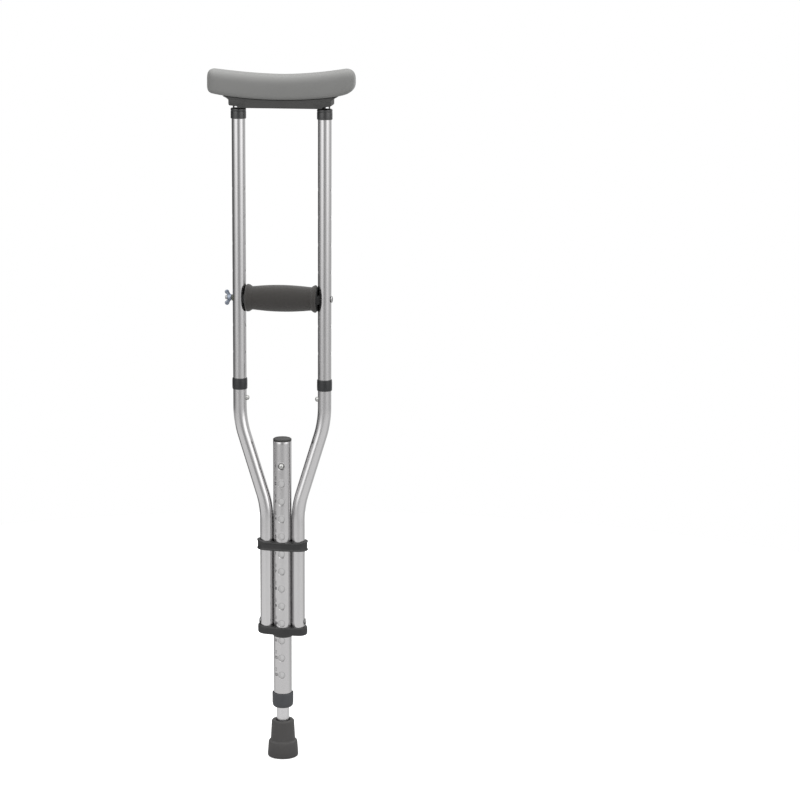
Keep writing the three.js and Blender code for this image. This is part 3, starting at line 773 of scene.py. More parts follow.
def upright(side, sign):
    bore, swage_bore = TUBE_R - TUBE_WALL, SWAGE_R - TUBE_WALL
    swage_z = SWAGE_TOP - SWAGE_TAPER
    tube = straight_tube(
        f"tube_upright_{side}",
        [(bore + 0.2, UP_Z1, 0), (TUBE_R, UP_Z1, 0.35), (TUBE_R, SWAGE_TOP, 1.2),
         (SWAGE_R, swage_z, 1.0), (SWAGE_R, UP_Z0, 0.3), (swage_bore + 0.2, UP_Z0, 0)],
        [(bore, UP_Z1 - 0.3, 0), (bore, SWAGE_TOP, 1.0), (swage_bore, swage_z, 1.0),
         (swage_bore, UP_Z0 + 0.3, 0)], at=(sign * UP_X, 0, 0))
    # bolt holes for the grip heights
    cuts = [rod("X", 3.35, -14, 14, (sign * UP_X, 0, GRIP_Z + k * GRIP_PITCH), 40)
            for k in range(-2, 5)]
    combine(tube, cuts + [snap_hole(sign)])
    soften(tube, 0.18)
    finish(tube, "frame", f"upright_{side}", ALU)


def bow(side, sign):
    """Lower side tube: straight, bent inward, slanting, bent back to upright."""
    angle, inward = BEND_ANGLE, -sign
    shift1, shift2 = BEND_R1 * (1 - math.cos(angle)), BEND_R2 * (1 - math.cos(angle))
    drop1, drop2 = BEND_R1 * math.sin(angle), BEND_R2 * math.sin(angle)
    slant_drop = (UP_X - BOW_LOW_X - shift1 - shift2) / math.tan(angle)
    bend_end = BEND_TOP_Z - drop1 - slant_drop - drop2
    stations = [(sign * UP_X, z, 0.0) for z in np.arange(BOW_Z1, BEND_TOP_Z, -3.0)]  # x, z, tilt
    for i in range(17):
        tilt = angle * i / 16
        stations.append((sign * UP_X + inward * BEND_R1 * (1 - math.cos(tilt)),
                         BEND_TOP_Z - BEND_R1 * math.sin(tilt), tilt))
    slant_x, slant_z, _ = stations[-1]
    length = slant_drop / math.cos(angle)
    for i in range(1, 12):
        along = length * i / 12
        stations.append((slant_x + inward * along * math.sin(angle),
                         slant_z - along * math.cos(angle), angle))
    for i in range(17):
        tilt = angle * (1 - i / 16)
        stations.append((sign * BOW_LOW_X - inward * BEND_R2 * (1 - math.cos(tilt)),
                         bend_end + BEND_R2 * math.sin(tilt), tilt))
    stations += [(sign * BOW_LOW_X, z, 0.0) for z in np.arange(bend_end - 5, BOW_Z0 + 2, -5.0)]
    stations.append((sign * BOW_LOW_X, BOW_Z0, 0.0))

    def ring(x, z, tilt, radius):
        points = []
        for k in range(96):
            across = radius * math.cos(TAU * k / 96)
            points.append((x + across * math.cos(tilt), radius * math.sin(TAU * k / 96),
                           z + across * inward * math.sin(tilt)))
        return points

    # down the outside, its two end rings drawn in a little, and back up the bore
    chamfer = 0.15
    top_x, top_z, _ = stations[0]
    sections = [ring(*stations[0], TUBE_R - chamfer), ring(top_x, top_z - chamfer, 0.0, TUBE_R)]
    sections += [ring(*station, TUBE_R) for station in stations[1:-1]]
    sections.append(ring(*stations[-1], TUBE_R - chamfer))
    sections += [ring(*station, TUBE_R - TUBE_WALL) for station in reversed(stations)]
    tube = loft(f"tube_bow_{side}", sections, closed=True)
    rivet_hole = rod("X", RIVET_HOLE_R, 0, sign * 14, (sign * BOW_LOW_X, 0, RIVET_Z), 32)
    combine(tube, [snap_hole(sign), rivet_hole])
    soften(tube, 0.18)
    finish(tube, "frame", f"bow_{side}", ALU)


# In the turned pieces below, each profile point is (radius, place along the axis, fillet).
def leg_pieces():
    tube = plain_tube("tube_leg", LEG_R, LEG_Z0, LEG_Z1, rim=0.35, segments=128, step=4.0)
    combine(tube, [rod("-Y", HOLE_R, 0, 16, (0, 0, HOLE_TOP - k * HOLE_PITCH))
                   for k in range(HOLE_COUNT)])
    soften(tube, 0.22)
    finish(tube, "frame", "leg_tube", ALU_LEG)

    radius, z0, z1 = tube_size("leg_cap")
    rim = LEG_Z1 + 0.3
    cap = revolve("cap_leg", fillet([
        (0, z0, 0), (11.2, z0, 0.8), (11.2, rim, 0), (radius, rim, 0.3), (radius, z1 - 2.0, 1.2),
        (radius - 2.0, z1 - 0.8, 2.5), (6.0, z1 - 0.1, 4), (0, z1, 0)], 6))
    finish(cap, "frame", "leg_cap", CAP)

    radius, z0, z1 = tube_size("leg_bush")
    bore, socket, shelf = EXT_R + PUSH_FIT, LEG_R + CLAMP_FIT, LEG_Z0 - CLAMP_FIT
    bush = revolve("bush_leg", fillet([
        (bore, z0 + 2, 0), (bore, z0, 0.5), (12.9, z0, 1.6), (radius - 0.7, z0 + 2.2, 2.0),
        (radius - 0.1, z0 + 6.5, 4.0), (radius, z1, 0.8), (LEG_R + 0.5, z1, 0.5),
        (socket, z1 - 1.0, 0.5), (socket, shelf, 0), (bore, shelf, 0)], 6))
    finish(bush, "frame", "leg_bush", BUSH)


def extension_pieces():
    tube = plain_tube("tube_extension", EXT_R, EXT_Z0, EXT_Z1, rim=0.3, segments=96, step=5.0)
    combine(tube, rod("-Y", HOLE_R - 0.1, 0, 16, (0, 0, HOLE_TOP)))
    finish(tube, "extension", "extension_tube", ALU_EXT)

    radius, z0, z1 = tube_size("extension_guide")
    bore = EXT_R + 0.25
    profile = fillet([(bore, z0 + 1, 0), (bore, z0, 0.3), (radius, z0, 0.8), (radius, z1, 0.8),
                      (bore, z1, 0.3), (bore, z0 + 1.5, 0)], 4)
    guide = revolve("guide_extension", resample(profile, 4))
    combine(guide, rod("-Y", HOLE_R + 0.3, 0, 16, (0, 0, HOLE_TOP)))
    finish(guide, "extension", "extension_guide", CUP)

    out = -box_mm("leg_button")[0][1]
    button = revolve("button_leg", fillet([
        (0, 4.2, 0), (5.3, 4.2, 0.2), (5.3, 5.2, 0.2), (4.2, 5.2, 0.1), (4.2, out - 3.1, 2.0),
        (3.2, out - 1.1, 2.0), (1.4, out - 0.15, 2), (0, out, 0)], 8),
        64, "-Y", (0, 0, HOLE_TOP))
    finish(button, "leg_button", "leg_button", NICKEL, angle=50)


def tip_piece():
    radius, _, top = tube_size("rubber_tip")
    bore = EXT_R + PUSH_FIT
    profile = [
        # ribbed sole
        (0, 0, 0), (6.4, 0, 0.4), (7.2, 1.6, 0.4), (10.6, 1.6, 0.4), (11.4, 0, 0.4),
        (14.2, 0, 0.4), (14.8, 1.4, 0.3), (16.4, 1.4, 0.3), (17.0, 0, 0.4), (radius - 0.9, 0, 0.4),
        # outside, going up
        (radius - 0.1, 0.9, 0.5), (radius, 4.0, 2.0), (radius - 1.1, 19.6, 1.2),
        (radius - 1.7, 22.4, 1.2), (18.3, 23.5, 0.6), (17.75, 24.4, 0.7), (17.3, 30, 6),
        (16.1, top - 1.6, 1.3), (15.1, top, 0.8),
        # mouth and socket
        (10.2, top, 0.5), (9.9, top - 3.0, 1.0), (bore + 0.2, top - 8.0, 2),
        (bore, top - 11.5, 1), (bore, 20, 0), (0, 20, 0)]
    tip = revolve("tip_rubber_foot", resample(fillet(profile, 6), 2.5), 128)
    finish(tip, "extension", "rubber_tip", RUBBER, angle=35)


# ---------------------------------------------------------------- collars, buttons, rivets
def collars(side, sign):
    outward, inward = ("X", "-X") if sign > 0 else ("-X", "X")
    bore = TUBE_R + PUSH_FIT
    at = (sign * UP_X, 0, 0)
    radius, z0, z1 = tube_size(f"top_collar_{side}")
    collar = revolve(f"collar_top_{side}", fillet([
        (bore, z0 + 1, 0), (bore, z0, 0.1), (radius - 0.5, z0, 0.3), (radius, z0 + 0.8, 0.6),
        # shallow groove below the top
        (radius, z1 - 4.4, 0.3), (radius - 0.3, z1 - 4.1, 0.2), (radius - 0.3, z1 - 3.4, 0.2),
        (radius, z1 - 3.1, 0.3), (radius, z1 - 1.0, 1.1), (radius - 1.0, z1, 0.5),
        (8.6, z1, 0.3), (8.6, UP_Z1 + 0.4, 0), (bore, UP_Z1 + 0.4, 0)]), at=at)
    finish(collar, "frame", f"top_collar_{side}", COLLAR)

    radius, z0, z1 = tube_size(f"mid_collar_{side}")
    collar = revolve(f"collar_mid_{side}", fillet([
        (bore, z0 + 1, 0), (bore, z0, 0.1), (radius - 0.6, z0, 0.25),
        (radius - 0.1, z0 + 1.0, 0.7), (radius - 0.1, z0 + 3.0, 0.2), (radius, z0 + 3.2, 0.2),
        (radius, z1 - 3.4, 0.2), (radius - 0.1, z1 - 3.2, 0.2), (radius - 0.1, z1 - 1.0, 0.7),
        (radius - 0.6, z1, 0.25), (bore, z1, 0.1)]), at=at)
    finish(collar, "frame", f"mid_collar_{side}", MID_COLLAR)

    reach = UP_X - reach_x(f"snap_button_{side}")[0]
    button = revolve(f"button_upright_{side}", fillet([
        (0, 3.8, 0), (4.3, 3.8, 0.2), (4.3, 4.8, 0.2), (3.4, 4.8, 0.1), (3.4, reach - 2.2, 1.8),
        (2.5, reach - 0.7, 1.5), (1.0, reach - 0.08, 1.5), (0, reach, 0)], 6),
        64, inward, (sign * UP_X, 0, SNAP_Z))
    finish(button, f"snap_{side}", f"snap_button_{side}", NICKEL, angle=50)

    reach = reach_x(f"rivet_{side}")[1] - BOW_LOW_X
    rivet = revolve(f"rivet_head_{side}", fillet([
        (0, 4.6, 0), (2.4, 4.6, 0.2), (2.4, 9.6, 0.1), (4.8, 9.6, 0.25), (4.65, reach - 1.0, 0.6),
        (3.2, reach - 0.25, 1.0), (1.5, reach - 0.05, 1), (0, reach, 0)]),
        64, outward, (sign * BOW_LOW_X, 0, RIVET_Z))
    finish(rivet, "frame", f"rivet_{side}", STEEL, angle=50)


# ---------------------------------------------------------------- clamp band and yoke
def hull_ring(z, leg_r, bow_r, inset):
    """Outline round the leg and both bows at height z."""
    lean = math.acos((leg_r - bow_r) / BOW_LOW_X)
    arcs = [(BOW_LOW_X, bow_r, -lean, lean, 36), (0, leg_r, lean, math.pi - lean, 8),
            (-BOW_LOW_X, bow_r, math.pi - lean, math.pi + lean, 36),
            (0, leg_r, math.pi + lean, TAU - lean, 8)]
    ring = []
    for x, radius, start, end, steps in arcs:
        for i in range(steps + 1):
            angle = start + (end - start) * i / steps
            ring.append((x + (radius - inset) * math.cos(angle),
                         (radius - inset) * math.sin(angle), z))
    return ring


def hull_radii(node):
    """Outer radii of a clamped piece round the leg and round the bows."""
    lo, hi = box_mm(node)
    return (hi[1] - lo[1]) / 2, (hi[0] - lo[0]) / 2 - BOW_LOW_X


def raise_ends(obj, above, rise):
    """Lifts the rim of the two outer ends, fading out toward the middle."""
    for v in obj.data.vertices:
        if v.co.z > above * MM:
            fade = min(1.0, max(0.0, (abs(v.co.x) / MM - 22.0) / 12.0))
            v.co.z += rise * MM * fade * fade * (3 - 2 * fade)


def sit_askew(obj, slope):
    """The clamped plastic sits a little low on its right side."""
    for v in obj.data.vertices:
        v.co.z -= slope * v.co.x


def upper_clamp():
    """Band with a rolled lip along both edges."""
    rise = 2.2
    _, z0, top = tube_size("upper_clamp")
    z1 = top - rise
    leg_r, bow_r = hull_radii("upper_clamp")
    # lip section: (distance from the edge, inset)
    lip = [(0, 0.75), (0.15, 0.35), (0.45, 0.08), (0.95, 0.0), (1.45, 0.08), (1.9, 0.4),
           (2.3, 0.75), (2.9, 0.9)]
    levels = [(z0 + z, inset) for z, inset in lip]
    levels += [(z1 - z, inset) for z, inset in reversed(lip)]
    band = loft("band_upper", [hull_ring(z, leg_r, bow_r, inset) for z, inset in levels])
    raise_ends(band, z1 - 2.6, rise)
    for x, radius in ((0, LEG_R), (-BOW_LOW_X, TUBE_R), (BOW_LOW_X, TUBE_R)):
        combine(band, rod("Z", radius + CLAMP_FIT, z0 - 2, z1 + 5, (x, 0, 0), 96))
    # open between the tubes
    combine(band, slab(-BOW_LOW_X, BOW_LOW_X, -4.5, 4.5, z0 - 2, z1 + 5))
    soften(band, 0.3, 3)
    sit_askew(band, 0.022)
    finish(band, "frame", "upper_clamp", CLAMP, angle=35)


def lower_yoke():
    leg_r, bow_r = hull_radii("lower_yoke")
    bottom = tube_size("lower_yoke")[1]
    # (distance from the edge, inset), each from the bottom up
    lower = [(0, 3.0), (0.12, 2.2), (0.5, 1.3), (1.1, 0.6), (2.0, 0.15), (3.2, 0.0)]
    upper = [(2.0, 0.0), (1.2, 0.05), (0.6, 0.2), (0.2, 0.5), (0.0, 0.95)]
    levels = [(YOKE_BASE + z, inset) for z, inset in lower]
    levels += [(YOKE_TOP - z, inset) for z, inset in upper]
    yoke = loft("yoke_lower", [hull_ring(z, leg_r, bow_r, inset) for z, inset in levels])
    raise_ends(yoke, YOKE_TOP - 1.5, 1.2)
    boss = revolve("boss", fillet([
        (0, bottom, 0), (13.6, bottom, 1.5), (leg_r - 0.5, bottom + 4.2, 4.0),
        (leg_r - 0.3, YOKE_BASE + 3, 2), (leg_r - 0.3, YOKE_BASE + 5, 0),
        (0, YOKE_BASE + 5, 0)], 6))
    combine(yoke, boss, "UNION")
    for _, sign in SIDES:
        at = (sign * BOW_LOW_X, 0, 0)
        # socket for the bow, and a plug inside it
        socket = rod("Z", TUBE_R + CLAMP_FIT, BOW_Z0 - CLAMP_FIT, YOKE_TOP + 5, at, 96)
        combine(yoke, socket)
        plug = rod("Z", TUBE_R - TUBE_WALL - CLAMP_FIT, YOKE_BASE + 1.5, 208, at, 96)
        combine(yoke, plug, "UNION")
    combine(yoke, rod("Z", LEG_R + CLAMP_FIT, bottom - 2, YOKE_TOP + 5, segments=96))
    for _, sign in SIDES:
        start, end = sign * (BOW_LOW_X + 4.2), sign * (BOW_LOW_X + 9)
        combine(yoke, rod("X", RIVET_HOLE_R, start, end, (0, 0, RIVET_Z), 32))
    soften(yoke, 0.35, 3)
    sit_askew(yoke, 0.032)
    finish(yoke, "frame", "lower_yoke", CLAMP, angle=35)


# ---------------------------------------------------------------- handgrip
def grip_sleeve():
    lo, hi = box_mm("grip_sleeve")
    half, radius = (hi[0] - lo[0]) / 2, (hi[2] - lo[2]) / 2
    end = fillet([
        (9.3, half, 0), (radius - 1.6, half, 0.8), (radius - 0.2, half - 1.2, 0.8),
        (radius, half - 2.4, 0.9), (radius - 0.7, half - 4.4, 1.2), (16.25, half - 7.6, 2.2),
        (16.6, half - 11, 3)], 7)[:-1]
    swell = [(16.35 + 2.35 * math.cos(math.pi / 2 * abs(x) / 39.0) ** 0.85, x)
             for x in np.linspace(36, -36, 37)]
    profile = end + swell + [(r, -x) for r, x in reversed(end)]
    sleeve = revolve("grip_foam_sleeve", resample(profile, 2.0), 112, "X", (0, 0, GRIP_Z))
    # softly uneven skin of the foam
    texture = bpy.data.textures.new("grip_soft", "CLOUDS")
    texture.noise_scale = 0.018
    modify(sleeve, "DISPLACE", texture=texture, texture_coords="GLOBAL", strength=0.00022,
           mid_level=0.5)
    bake(sleeve)
    stretch_from = -44 * MM
    for v in sleeve.data.vertices:      # the foam is pushed up against the cup on the nut side
        if v.co.x < stretch_from:
            v.co.x += (v.co.x - stretch_from) * 0.25
    finish(sleeve, "handgrip", "grip_sleeve", FOAM, angle=45)


def grip_cup(side, sign):
    """Cup at an end of the grip, cut to the upright, and the hub inside it."""
    axis = "X" if sign > 0 else "-X"
    lo, hi = box_mm(f"grip_cup_{side}")
    near, far = reach_x(f"grip_cup_{side}")
    radius = (hi[2] - lo[2]) / 2

    def cut_to_upright(piece, gap):
        combine(piece, rod("Z", TUBE_R + gap, GRIP_Z - 30, GRIP_Z + 30, (sign * UP_X, 0, 0), 96))

    cup = revolve(f"cup_grip_{side}", fillet([
        (3.5, near, 0), (radius, near, 0.4), (radius - 0.3, near + 1.0, 0.5),
        (8.4, near + 5.1, 0.8), (7.0, near + 5.6, 0.6), (7.0, far, 0), (3.5, far, 0)]),
        96, axis, (0, 0, GRIP_Z))
    cut_to_upright(cup, 0.4)
    # hollow below and above the hub, behind a thin rim
    for z0, z1 in ((-13.4, -6.2), (6.2, 13.4)):
        combine(cup, slab(sign * (near + 1.2), sign * (far + 3), -22, 6.0,
                          GRIP_Z + z0, GRIP_Z + z1))
    soften(cup, 0.3)
    finish(cup, "handgrip", f"grip_cup_{side}", CUP)

    hub = revolve(f"hub_grip_{side}", fillet([
        (3.5, near + 0.8, 0), (6.1, near + 0.8, 0.2), (6.1, near + 7.4, 0.3),
        (3.5, near + 7.4, 0)], 4), 64, axis, (0, 0, GRIP_Z))
    cut_to_upright(hub, PUSH_FIT)
    finish(hub, "handgrip", None, BUSH)


def grip_bolt():
    lo, hi = box_mm("grip_bolt")
    x0, x1 = lo[0], hi[0]
    shank, head_r, head_x = 3.0, 4.6, 69.5
    pitch, depth, thread_end = 1.0, 0.28, -62
    profile = [(0, x0), (2.0, x0), (2.35, x0 + 0.3)]
    x = x0 + 0.8
    while x < thread_end:                # thread on the nut end, as rings
        profile += [(shank - depth, x), (shank, x + 0.42), (shank, x + 0.58),
                    (shank - depth, x + pitch)]
        x += pitch
    profile += [(shank, x + 0.6), (shank, head_x), (head_r, head_x), (4.62, head_x + 0.5)]
    dome_x = head_x + 0.6
    profile += [(head_r * math.cos(t), dome_x + (x1 - head_x - 0.6) * math.sin(t))
                for t in np.linspace(0.15, math.pi / 2 - 0.01, 10)]
    profile.append((0, x1))
    bolt = revolve("bolt_grip", profile, 64, "X", (0, 0, GRIP_Z))
    combine(bolt, slab(x1 - 0.9, x1 + 1, -0.55, 0.55, GRIP_Z - 5, GRIP_Z + 5))
    finish(bolt, "handgrip", "grip_bolt", STEEL, angle=35)


def curved_washer():
    """Curved round the outer side of the left upright."""
    lo, hi = box_mm("curved_washer")
    inner, outer, half_z = TUBE_R + 0.15, -lo[0] - UP_X, (hi[2] - lo[2]) / 2
    half_angle = math.acos(max(-1, min(1, (-hi[0] - UP_X) / outer)))
    profile = fillet([(inner, 0, 0), (inner, half_z, 0.2), (outer, half_z, 0.35),
                      (outer, -half_z, 0.35), (inner, -half_z, 0.2), (inner, 0, 0)], 4)[:-1]
    steps = 30
    sections = []
    for i in range(steps + 1):
        angle = math.pi - half_angle + 2 * half_angle * i / steps
        sections.append([(-UP_X + r * math.cos(angle), r * math.sin(angle), GRIP_Z + z)
                         for r, z in profile])
    washer = loft("washer_curved", sections)
    combine(washer, rod("X", 3.4, -90, -50, (0, 0, GRIP_Z), 40))
    soften(washer, 0.15)
    finish(washer, "handgrip", "curved_washer", WASHER, angle=35)


def wing_ear(root, tip, sign):
    """Flattened ear swept from the hub's flank to a rounded end; root and tip are (x, height)."""
    along = (tip - root).normalized()
    across = Vector((-along.y, along.x))
    sections = []
    for i in range(19):
        f = i / 18
        if f < 0.72:                     # neck, widening toward the tip
            g = f / 0.72
            middle = root.lerp(tip, g)
            width = 2.3 - 0.35 * math.sin(math.pi * g) + 1.15 * g * g
            thick = 1.9 - 0.6 * g
        else:                            # rounded end
            g = (f - 0.72) / 0.28 * math.pi / 2
            middle = tip + along * 3.0 * math.sin(g)
            width = 3.1 * math.cos(g) + 0.02
            thick = 1.3 * math.cos(g) ** 0.5 + 0.02
        ring = []
        for k in range(28):
            angle = TAU * k / 28
            point = middle + across * (signed_power(math.cos(angle), 0.8) * width)
            ring.append((point.x, signed_power(math.sin(angle), 0.8) * thick,
                         GRIP_Z + sign * point.y))
        sections.append(ring)
    return loft("ear", sections)


def wing_nut():
    lo, hi = box_mm("wing_nut")
    x0, x1, half_z = lo[0], hi[0], (hi[2] - lo[2]) / 2
    hub_end = -76.6
    hub = revolve("hub", fillet([
        (0, x1 - 0.1, 0), (4.4, x1 - 0.1, 0.3), (4.6, x1 - 1.2, 0.6), (3.75, hub_end, 0.6),
        (0, hub_end, 0)], 4), 64, "X", (0, 0, GRIP_Z))
    root, tip = Vector((-73.2, 2.2)), Vector((x0 + 3.5, half_z - 3.3))
    nut = join("nut_wing", [hub] + [wing_ear(root, tip, sign) for sign in (-1, 1)])
    # melt the hub and ears into one cast shape
    modify(nut, "REMESH", mode="VOXEL", voxel_size=0.2 * MM, use_smooth_shade=True)
    modify(nut, "SMOOTH", factor=0.5, iterations=5)
    bake(nut)
    combine(nut, rod("X", 3.35, -90, -60, (0, 0, GRIP_Z)))
    for v in nut.data.vertices:
        v.co.x = min(v.co.x, x1 * MM)
    finish(nut, "wing_nut", "wing_nut", ZINC)


# ---------------------------------------------------------------- leaf springs behind the buttons
def leaf_spring(name, node, points, half_width, place, body):
    """Strip with rounded edges; `place` moves (outline a, width, outline b) to x, y, z."""
    outline = [Vector(p) for p in fillet([(a, b, 1.4) for a, b in points])]
    count = len(outline)
    after = outline[1:] + outline[:1]
    area = sum(p.x * q.y - q.x * p.y for p, q in zip(outline, after))
    sign = 1 if area > 0 else -1
    normals = []
    for i in range(count):
        tangent = (after[i] - outline[i]).normalized() + (outline[i] - outline[i - 1]).normalized()
        tangent.normalize()
        normals.append(Vector((tangent.y, -tangent.x)) * sign)
    edge = 0.12
    levels = []                          # (place across the width, inset)
    for angle in (0.0, math.pi / 4, math.pi / 2):
        levels.append((-half_width + edge * (1 - math.cos(angle)), edge * (1 - math.sin(angle))))
    levels += [(-y, inset) for y, inset in reversed(levels)]
    sections = []
    for y, inset in levels:
        ring = [p - normal * inset for p, normal in zip(outline, normals)]
        sections.append([(p.x, y, p.y) for p in ring])
    spring = loft(name, sections)
    for v in spring.data.vertices:
        v.co = Vector(place(*[c / MM for c in v.co])) * MM
    face_outward(spring.data)            # placing may mirror the strip
    finish(spring, body, node, SPRING)
    return spring


# Outlines: (distance toward the button, height from the button).
SIDE_LEAF = [
    (3.5, -4.5), (2.8, -4.5), (2.6, 4), (1.6, 8.6), (-0.6, 11.0), (-3.2, 10.6), (-4.6, 8.2),
    (-5.2, 4), (-5.4, -6.0), (-6.0, -6.0), (-5.8, 4), (-5.2, 8.6), (-3.4, 11.4), (-0.4, 11.9),
    (2.2, 9.2), (3.3, 4.2)]
LEG_LEAF = [
    (3.9, -5.0), (3.2, -5.0), (3.0, -14), (1.6, -20.5), (-1.0, -23), (-3.6, -22.2), (-5.0, -19),
    (-5.6, -13), (-5.9, 5), (-6.6, 5), (-6.3, -13.4), (-5.7, -19.6), (-3.9, -23.1),
    (-0.8, -23.9), (2.3, -20.9), (3.7, -14.2)]


def springs():
    """A leaf spring behind each button, held by the frame or the extension."""
    for side, sign in SIDES:
        spring = leaf_spring(
            f"spring_leaf_{side}", f"button_spring_{side}", SIDE_LEAF, 2.6,
            lambda x, y, z, sign=sign: (sign * UP_X - sign * x, y, SNAP_Z + z), "frame")
        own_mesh(spring)
    spring = leaf_spring("spring_leaf_leg", "leg_button_spring", LEG_LEAF, 3.0,
                         lambda x, y, z: (y, -x, HOLE_TOP + z), "extension")
    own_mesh(spring)


# ---------------------------------------------------------------- printed height numbers
def digit_mesh(text):
    """Flat number, in metres, centred on the origin."""
    curve = bpy.data.curves.new("digit", "FONT")
    curve.body = text
    curve.size = 0.0056
    curve.extrude = 0.00002
    curve.offset = 0.00022
    curve.align_x = "CENTER"
    curve.align_y = "CENTER"
    obj = add_object("digit", curve)
    mesh = evaluated_mesh(obj)
    bpy.data.objects.remove(obj)
    bpy.data.curves.remove(curve)
    return mesh


def marks():
    """Numbers and strokes wrapped round the leg, left of its holes; all in metres."""
    radius = LEG_R * MM
    middle = math.radians(-39.5)
    # strokes above each number but the first: (height, width)
    strokes = ((0.0064, 0.0026), (0.0082, 0.0018), (0.0100, 0.0026))
    half_thick = 0.0004
    bm = bmesh.new()

    def wrapped(across, out, z):
        angle = middle + across / radius
        return Vector((out * math.sin(angle), -out * math.cos(angle), z))

    for k in range(HOLE_COUNT):
        z = (HOLE_TOP - k * HOLE_PITCH) * MM
        mesh = digit_mesh(str(k + 1))
        for v in mesh.vertices:
            v.co = wrapped(v.co.x, radius + 0.00004 + v.co.z, z + v.co.y)
        bm.from_mesh(mesh)
        bpy.data.meshes.remove(mesh)
        for rise, width in strokes if k else ():
            corners = []
            for out in (radius - 0.00002, radius + 0.00006):
                for across, up in ((-1, -1), (1, -1), (1, 1), (-1, 1)):
                    corners.append(bm.verts.new(
                        wrapped(across * width / 2, out, z + rise + up * half_thick)))
            for face in ((0, 1, 2, 3), (7, 6, 5, 4), (0, 4, 5, 1), (1, 5, 6, 2), (2, 6, 7, 3),
                         (3, 7, 4, 0)):
                bm.faces.new([corners[i] for i in face])
    mesh = bpy.data.meshes.new("height_numbers")
    bm.to_mesh(mesh)
    bm.free()
    face_outward(mesh, merge=1e-6)
    finish(add_object("height_numbers", mesh), "frame", None, PRINT, angle=None)


pad_piece()
saddle_piece()
for _side, _sign in SIDES:
    upright(_side, _sign)
    bow(_side, _sign)
    collars(_side, _sign)
leg_pieces()
extension_pieces()
tip_piece()
upper_clamp()
lower_yoke()
grip_sleeve()
for _side, _sign in SIDES:
    grip_cup(_side, _sign)
grip_bolt()
curved_washer()
wing_nut()
springs()
marks()

# inner pieces of the frame that are kept as they are
for _name, _material in (("grip_core", CUP), ("tip_washer", ZINC)):
    _kept = frame["nodes"][_name].data.materials
    _kept.clear()
    _kept.append(_material)


# ---------------------------------------------------------------- studio
scene = bpy.context.scene
scene.view_settings.view_transform = "Standard"
scene.view_settings.look = "None"
scene.view_settings.exposure = 0.0
scene.view_settings.gamma = 1.0

# the camera's direction from the crutch (turned from the front, raised), distance in metres
AZIMUTH, TILT, DISTANCE = math.radians(8.0), math.radians(11.0), 3.6

# Brightness round the horizon: (degrees to the right of the camera's direction, brightness).
# Two tall soft boxes left and right of the camera, a darker gap between them, a dark corner
# at the left rear.
HIGH = [
    (-180, 0.30), (-160, 0.16), (-112, 0.16), (-98, 0.24), (-84, 0.50), (-70, 1.05),
    (-56, 1.60), (-42, 2.10), (-30, 1.90), (-19, 1.15), (-8, 0.50), (0, 0.42), (8, 0.48),
    (19, 0.75), (30, 1.35), (42, 1.95), (54, 2.10), (66, 1.75), (80, 1.15), (93, 0.80),
    (108, 0.66), (134, 0.80), (160, 0.75), (180, 0.30)]
MID = [
    (-180, 0.30), (-160, 0.13), (-108, 0.13), (-95, 0.20), (-80, 0.42), (-66, 0.78),
    (-52, 0.98), (-38, 0.90), (-18, 0.48), (0, 0.34), (18, 0.58), (36, 0.92), (50, 1.00),
    (64, 0.86), (80, 0.74), (101, 0.60), (134, 0.66), (160, 0.60), (180, 0.30)]
LOW = [
    (-180, 0.30), (-160, 0.15), (-112, 0.15), (-100, 0.22), (-80, 0.40), (-58, 0.58),
    (-38, 0.54), (-17, 0.44), (0, 0.44), (17, 0.55), (36, 0.66), (55, 0.60), (77, 0.58),
    (101, 0.62), (134, 0.72), (160, 0.60), (180, 0.30)]
SWEEP = [
    (-180, 0.75), (-134, 0.62), (-100, 0.64), (-70, 0.86), (-36, 0.96), (0, 0.97), (36, 0.96),
    (70, 0.92), (110, 0.76), (180, 0.75)]
# bands above SWEEP: (stops, elevations in degrees at which the band starts and is full)
BANDS = [(LOW, -14.5, -11.0), (MID, -10.5, -7.8), (HIGH, -7.6, -3.8)]
OVERHEAD = 2.3
RAMP_SCALE = 4      # ramp colours hold the brightness divided by this


def studio_world():
    """Reflections and light from the bands; plain white for the camera."""
    world = bpy.data.worlds.new("studio")
    scene.world = world
    world.use_nodes = True
    graph = Graph(world.node_tree, "OutputWorld")
    add, multiply = graph.add, graph.multiply
    x, y, z = graph.split(graph.node("TexCoord").outputs["Generated"])
    right = add(multiply(x, math.cos(AZIMUTH)), multiply(y, math.sin(AZIMUTH)))
    toward = graph.subtract(multiply(x, math.sin(AZIMUTH)), multiply(y, math.cos(AZIMUTH)))
    turn = add(graph.math("DIVIDE", graph.math("ARCTAN2", right, toward), TAU), 0.5)

    def panorama(stops):
        node = graph.node("ValToRGB", {"Fac": turn})
        ramp = node.color_ramp
        ramp.interpolation = "LINEAR"
        while len(ramp.elements) < len(stops):
            ramp.elements.new(0.5)
        for element, (degrees, value) in zip(ramp.elements, stops):
            element.position = (degrees + 180) / 360
            element.color = (*(value / RAMP_SCALE,) * 3, 1)
        return multiply(node.outputs["Color"], float(RAMP_SCALE))

    def blend_up(below, above, low, high):
        low, high = math.sin(math.radians(low)), math.sin(math.radians(high))
        factor = graph.remap(z, (low, high))
        return add(multiply(below, graph.subtract(1.0, factor)), multiply(above, factor))

    tone = panorama(SWEEP)
    for stops, low, high in BANDS:
        tone = blend_up(tone, panorama(stops), low, high)
    overhead = graph.node("Value").outputs[0]
    overhead.default_value = OVERHEAD
    tone = blend_up(tone, overhead, 24, 48)
    lit = graph.node("Background", {"Color": WHITE, "Strength": tone})
    plain = graph.node("Background", {"Color": WHITE, "Strength": 1.0})
    graph.show(others=lit.outputs[0], camera=plain.outputs[0])


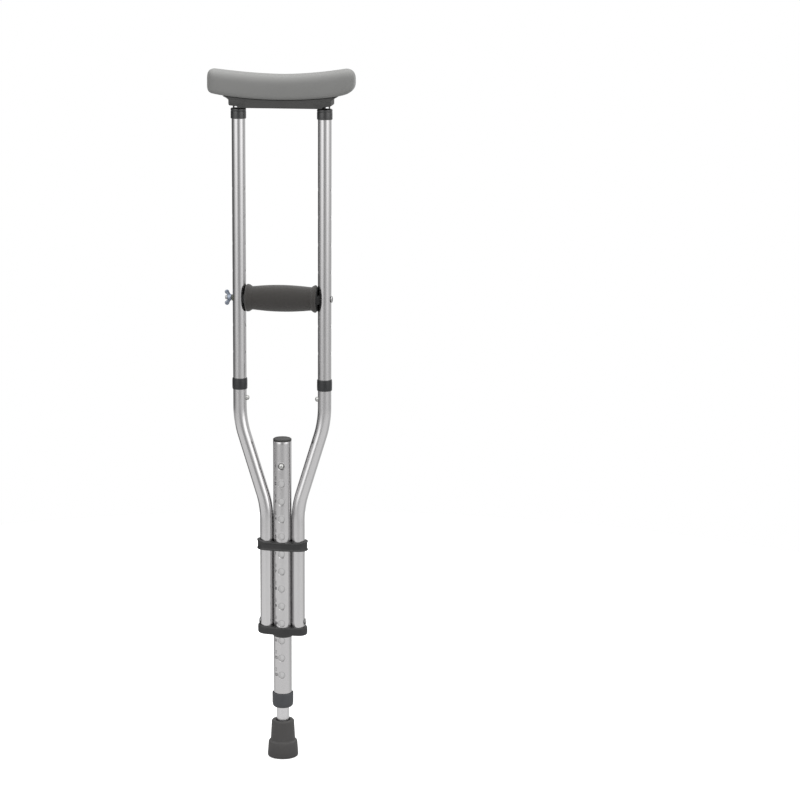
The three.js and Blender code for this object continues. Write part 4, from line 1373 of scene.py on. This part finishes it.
def floor():
    """Pale round floor; in reflections it is darker behind the crutch, most at the left."""
    radius, top, bottom = 1500, -0.3, -3.0
    disc = revolve("floor_disc", [(0, bottom), (radius, bottom), (radius, top), (0, top)], 128)
    shader = Shader("pale_floor")
    multiply, remap = shader.multiply, shader.remap
    cloud = shader.noise(3, rough=0.5)
    shader.set({"Roughness": 0.7, "Specular IOR Level": 0.2, "Emission Color": WHITE,
                "Emission Strength": 0.62,
                "Base Color": shader.mix(remap(cloud), (0.50,) * 3, (0.53,) * 3)})
    x, y, _ = shader.split_object()
    corner = multiply(remap(y, (0.15, 0.6)), remap(x, (-0.35, 0.02), to=(0.78, 0.0)))
    strength = multiply(remap(y, (-0.05, 0.25), to=(0.95, 0.68)), shader.subtract(1.0, corner))
    glow = shader.node("Emission", {"Strength": strength})
    shader.show(others=glow.outputs[0], camera=shader.bsdf.outputs["BSDF"])
    disc.data.materials.append(shader.material)
    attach(disc, "extension")          # the floor stays under the tip at every leg length
    disc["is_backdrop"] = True


def camera():
    target_height = 0.5285              # as a part of the crutch's height
    aim_right, aim_up = 0.04593488, 0.00029635407   # tangents of the aim away from the target
    roll = math.radians(0.37)
    target = Vector((0, 0, cad_hi.z * target_height))
    back = Vector((math.sin(AZIMUTH) * math.cos(TILT), -math.cos(AZIMUTH) * math.cos(TILT),
                   math.sin(TILT)))
    data = bpy.data.cameras.new("camera")
    cam = add_object("camera", data)
    data.sensor_width = 36.0
    data.lens = 115.4025
    data.clip_end = 100
    vertical = Vector((0, 0, 1))
    right = (-back).cross(vertical).normalized()
    aim = (-back + right * aim_right + right.cross(-back) * aim_up).normalized()
    right = aim.cross(vertical).normalized()
    up = right.cross(aim)
    right, up = (right * math.cos(roll) + up * math.sin(roll),
                 up * math.cos(roll) - right * math.sin(roll))
    turned = Matrix((right, up, -aim)).transposed().to_4x4()
    cam.matrix_world = Matrix.Translation(target + back * DISTANCE) @ turned
    scene.camera = cam


studio_world()
floor()
camera()

vis_lo, vis_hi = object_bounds()
{"cad": [list(cad_lo), list(cad_hi)], "visual": [list(vis_lo), list(vis_hi)]}
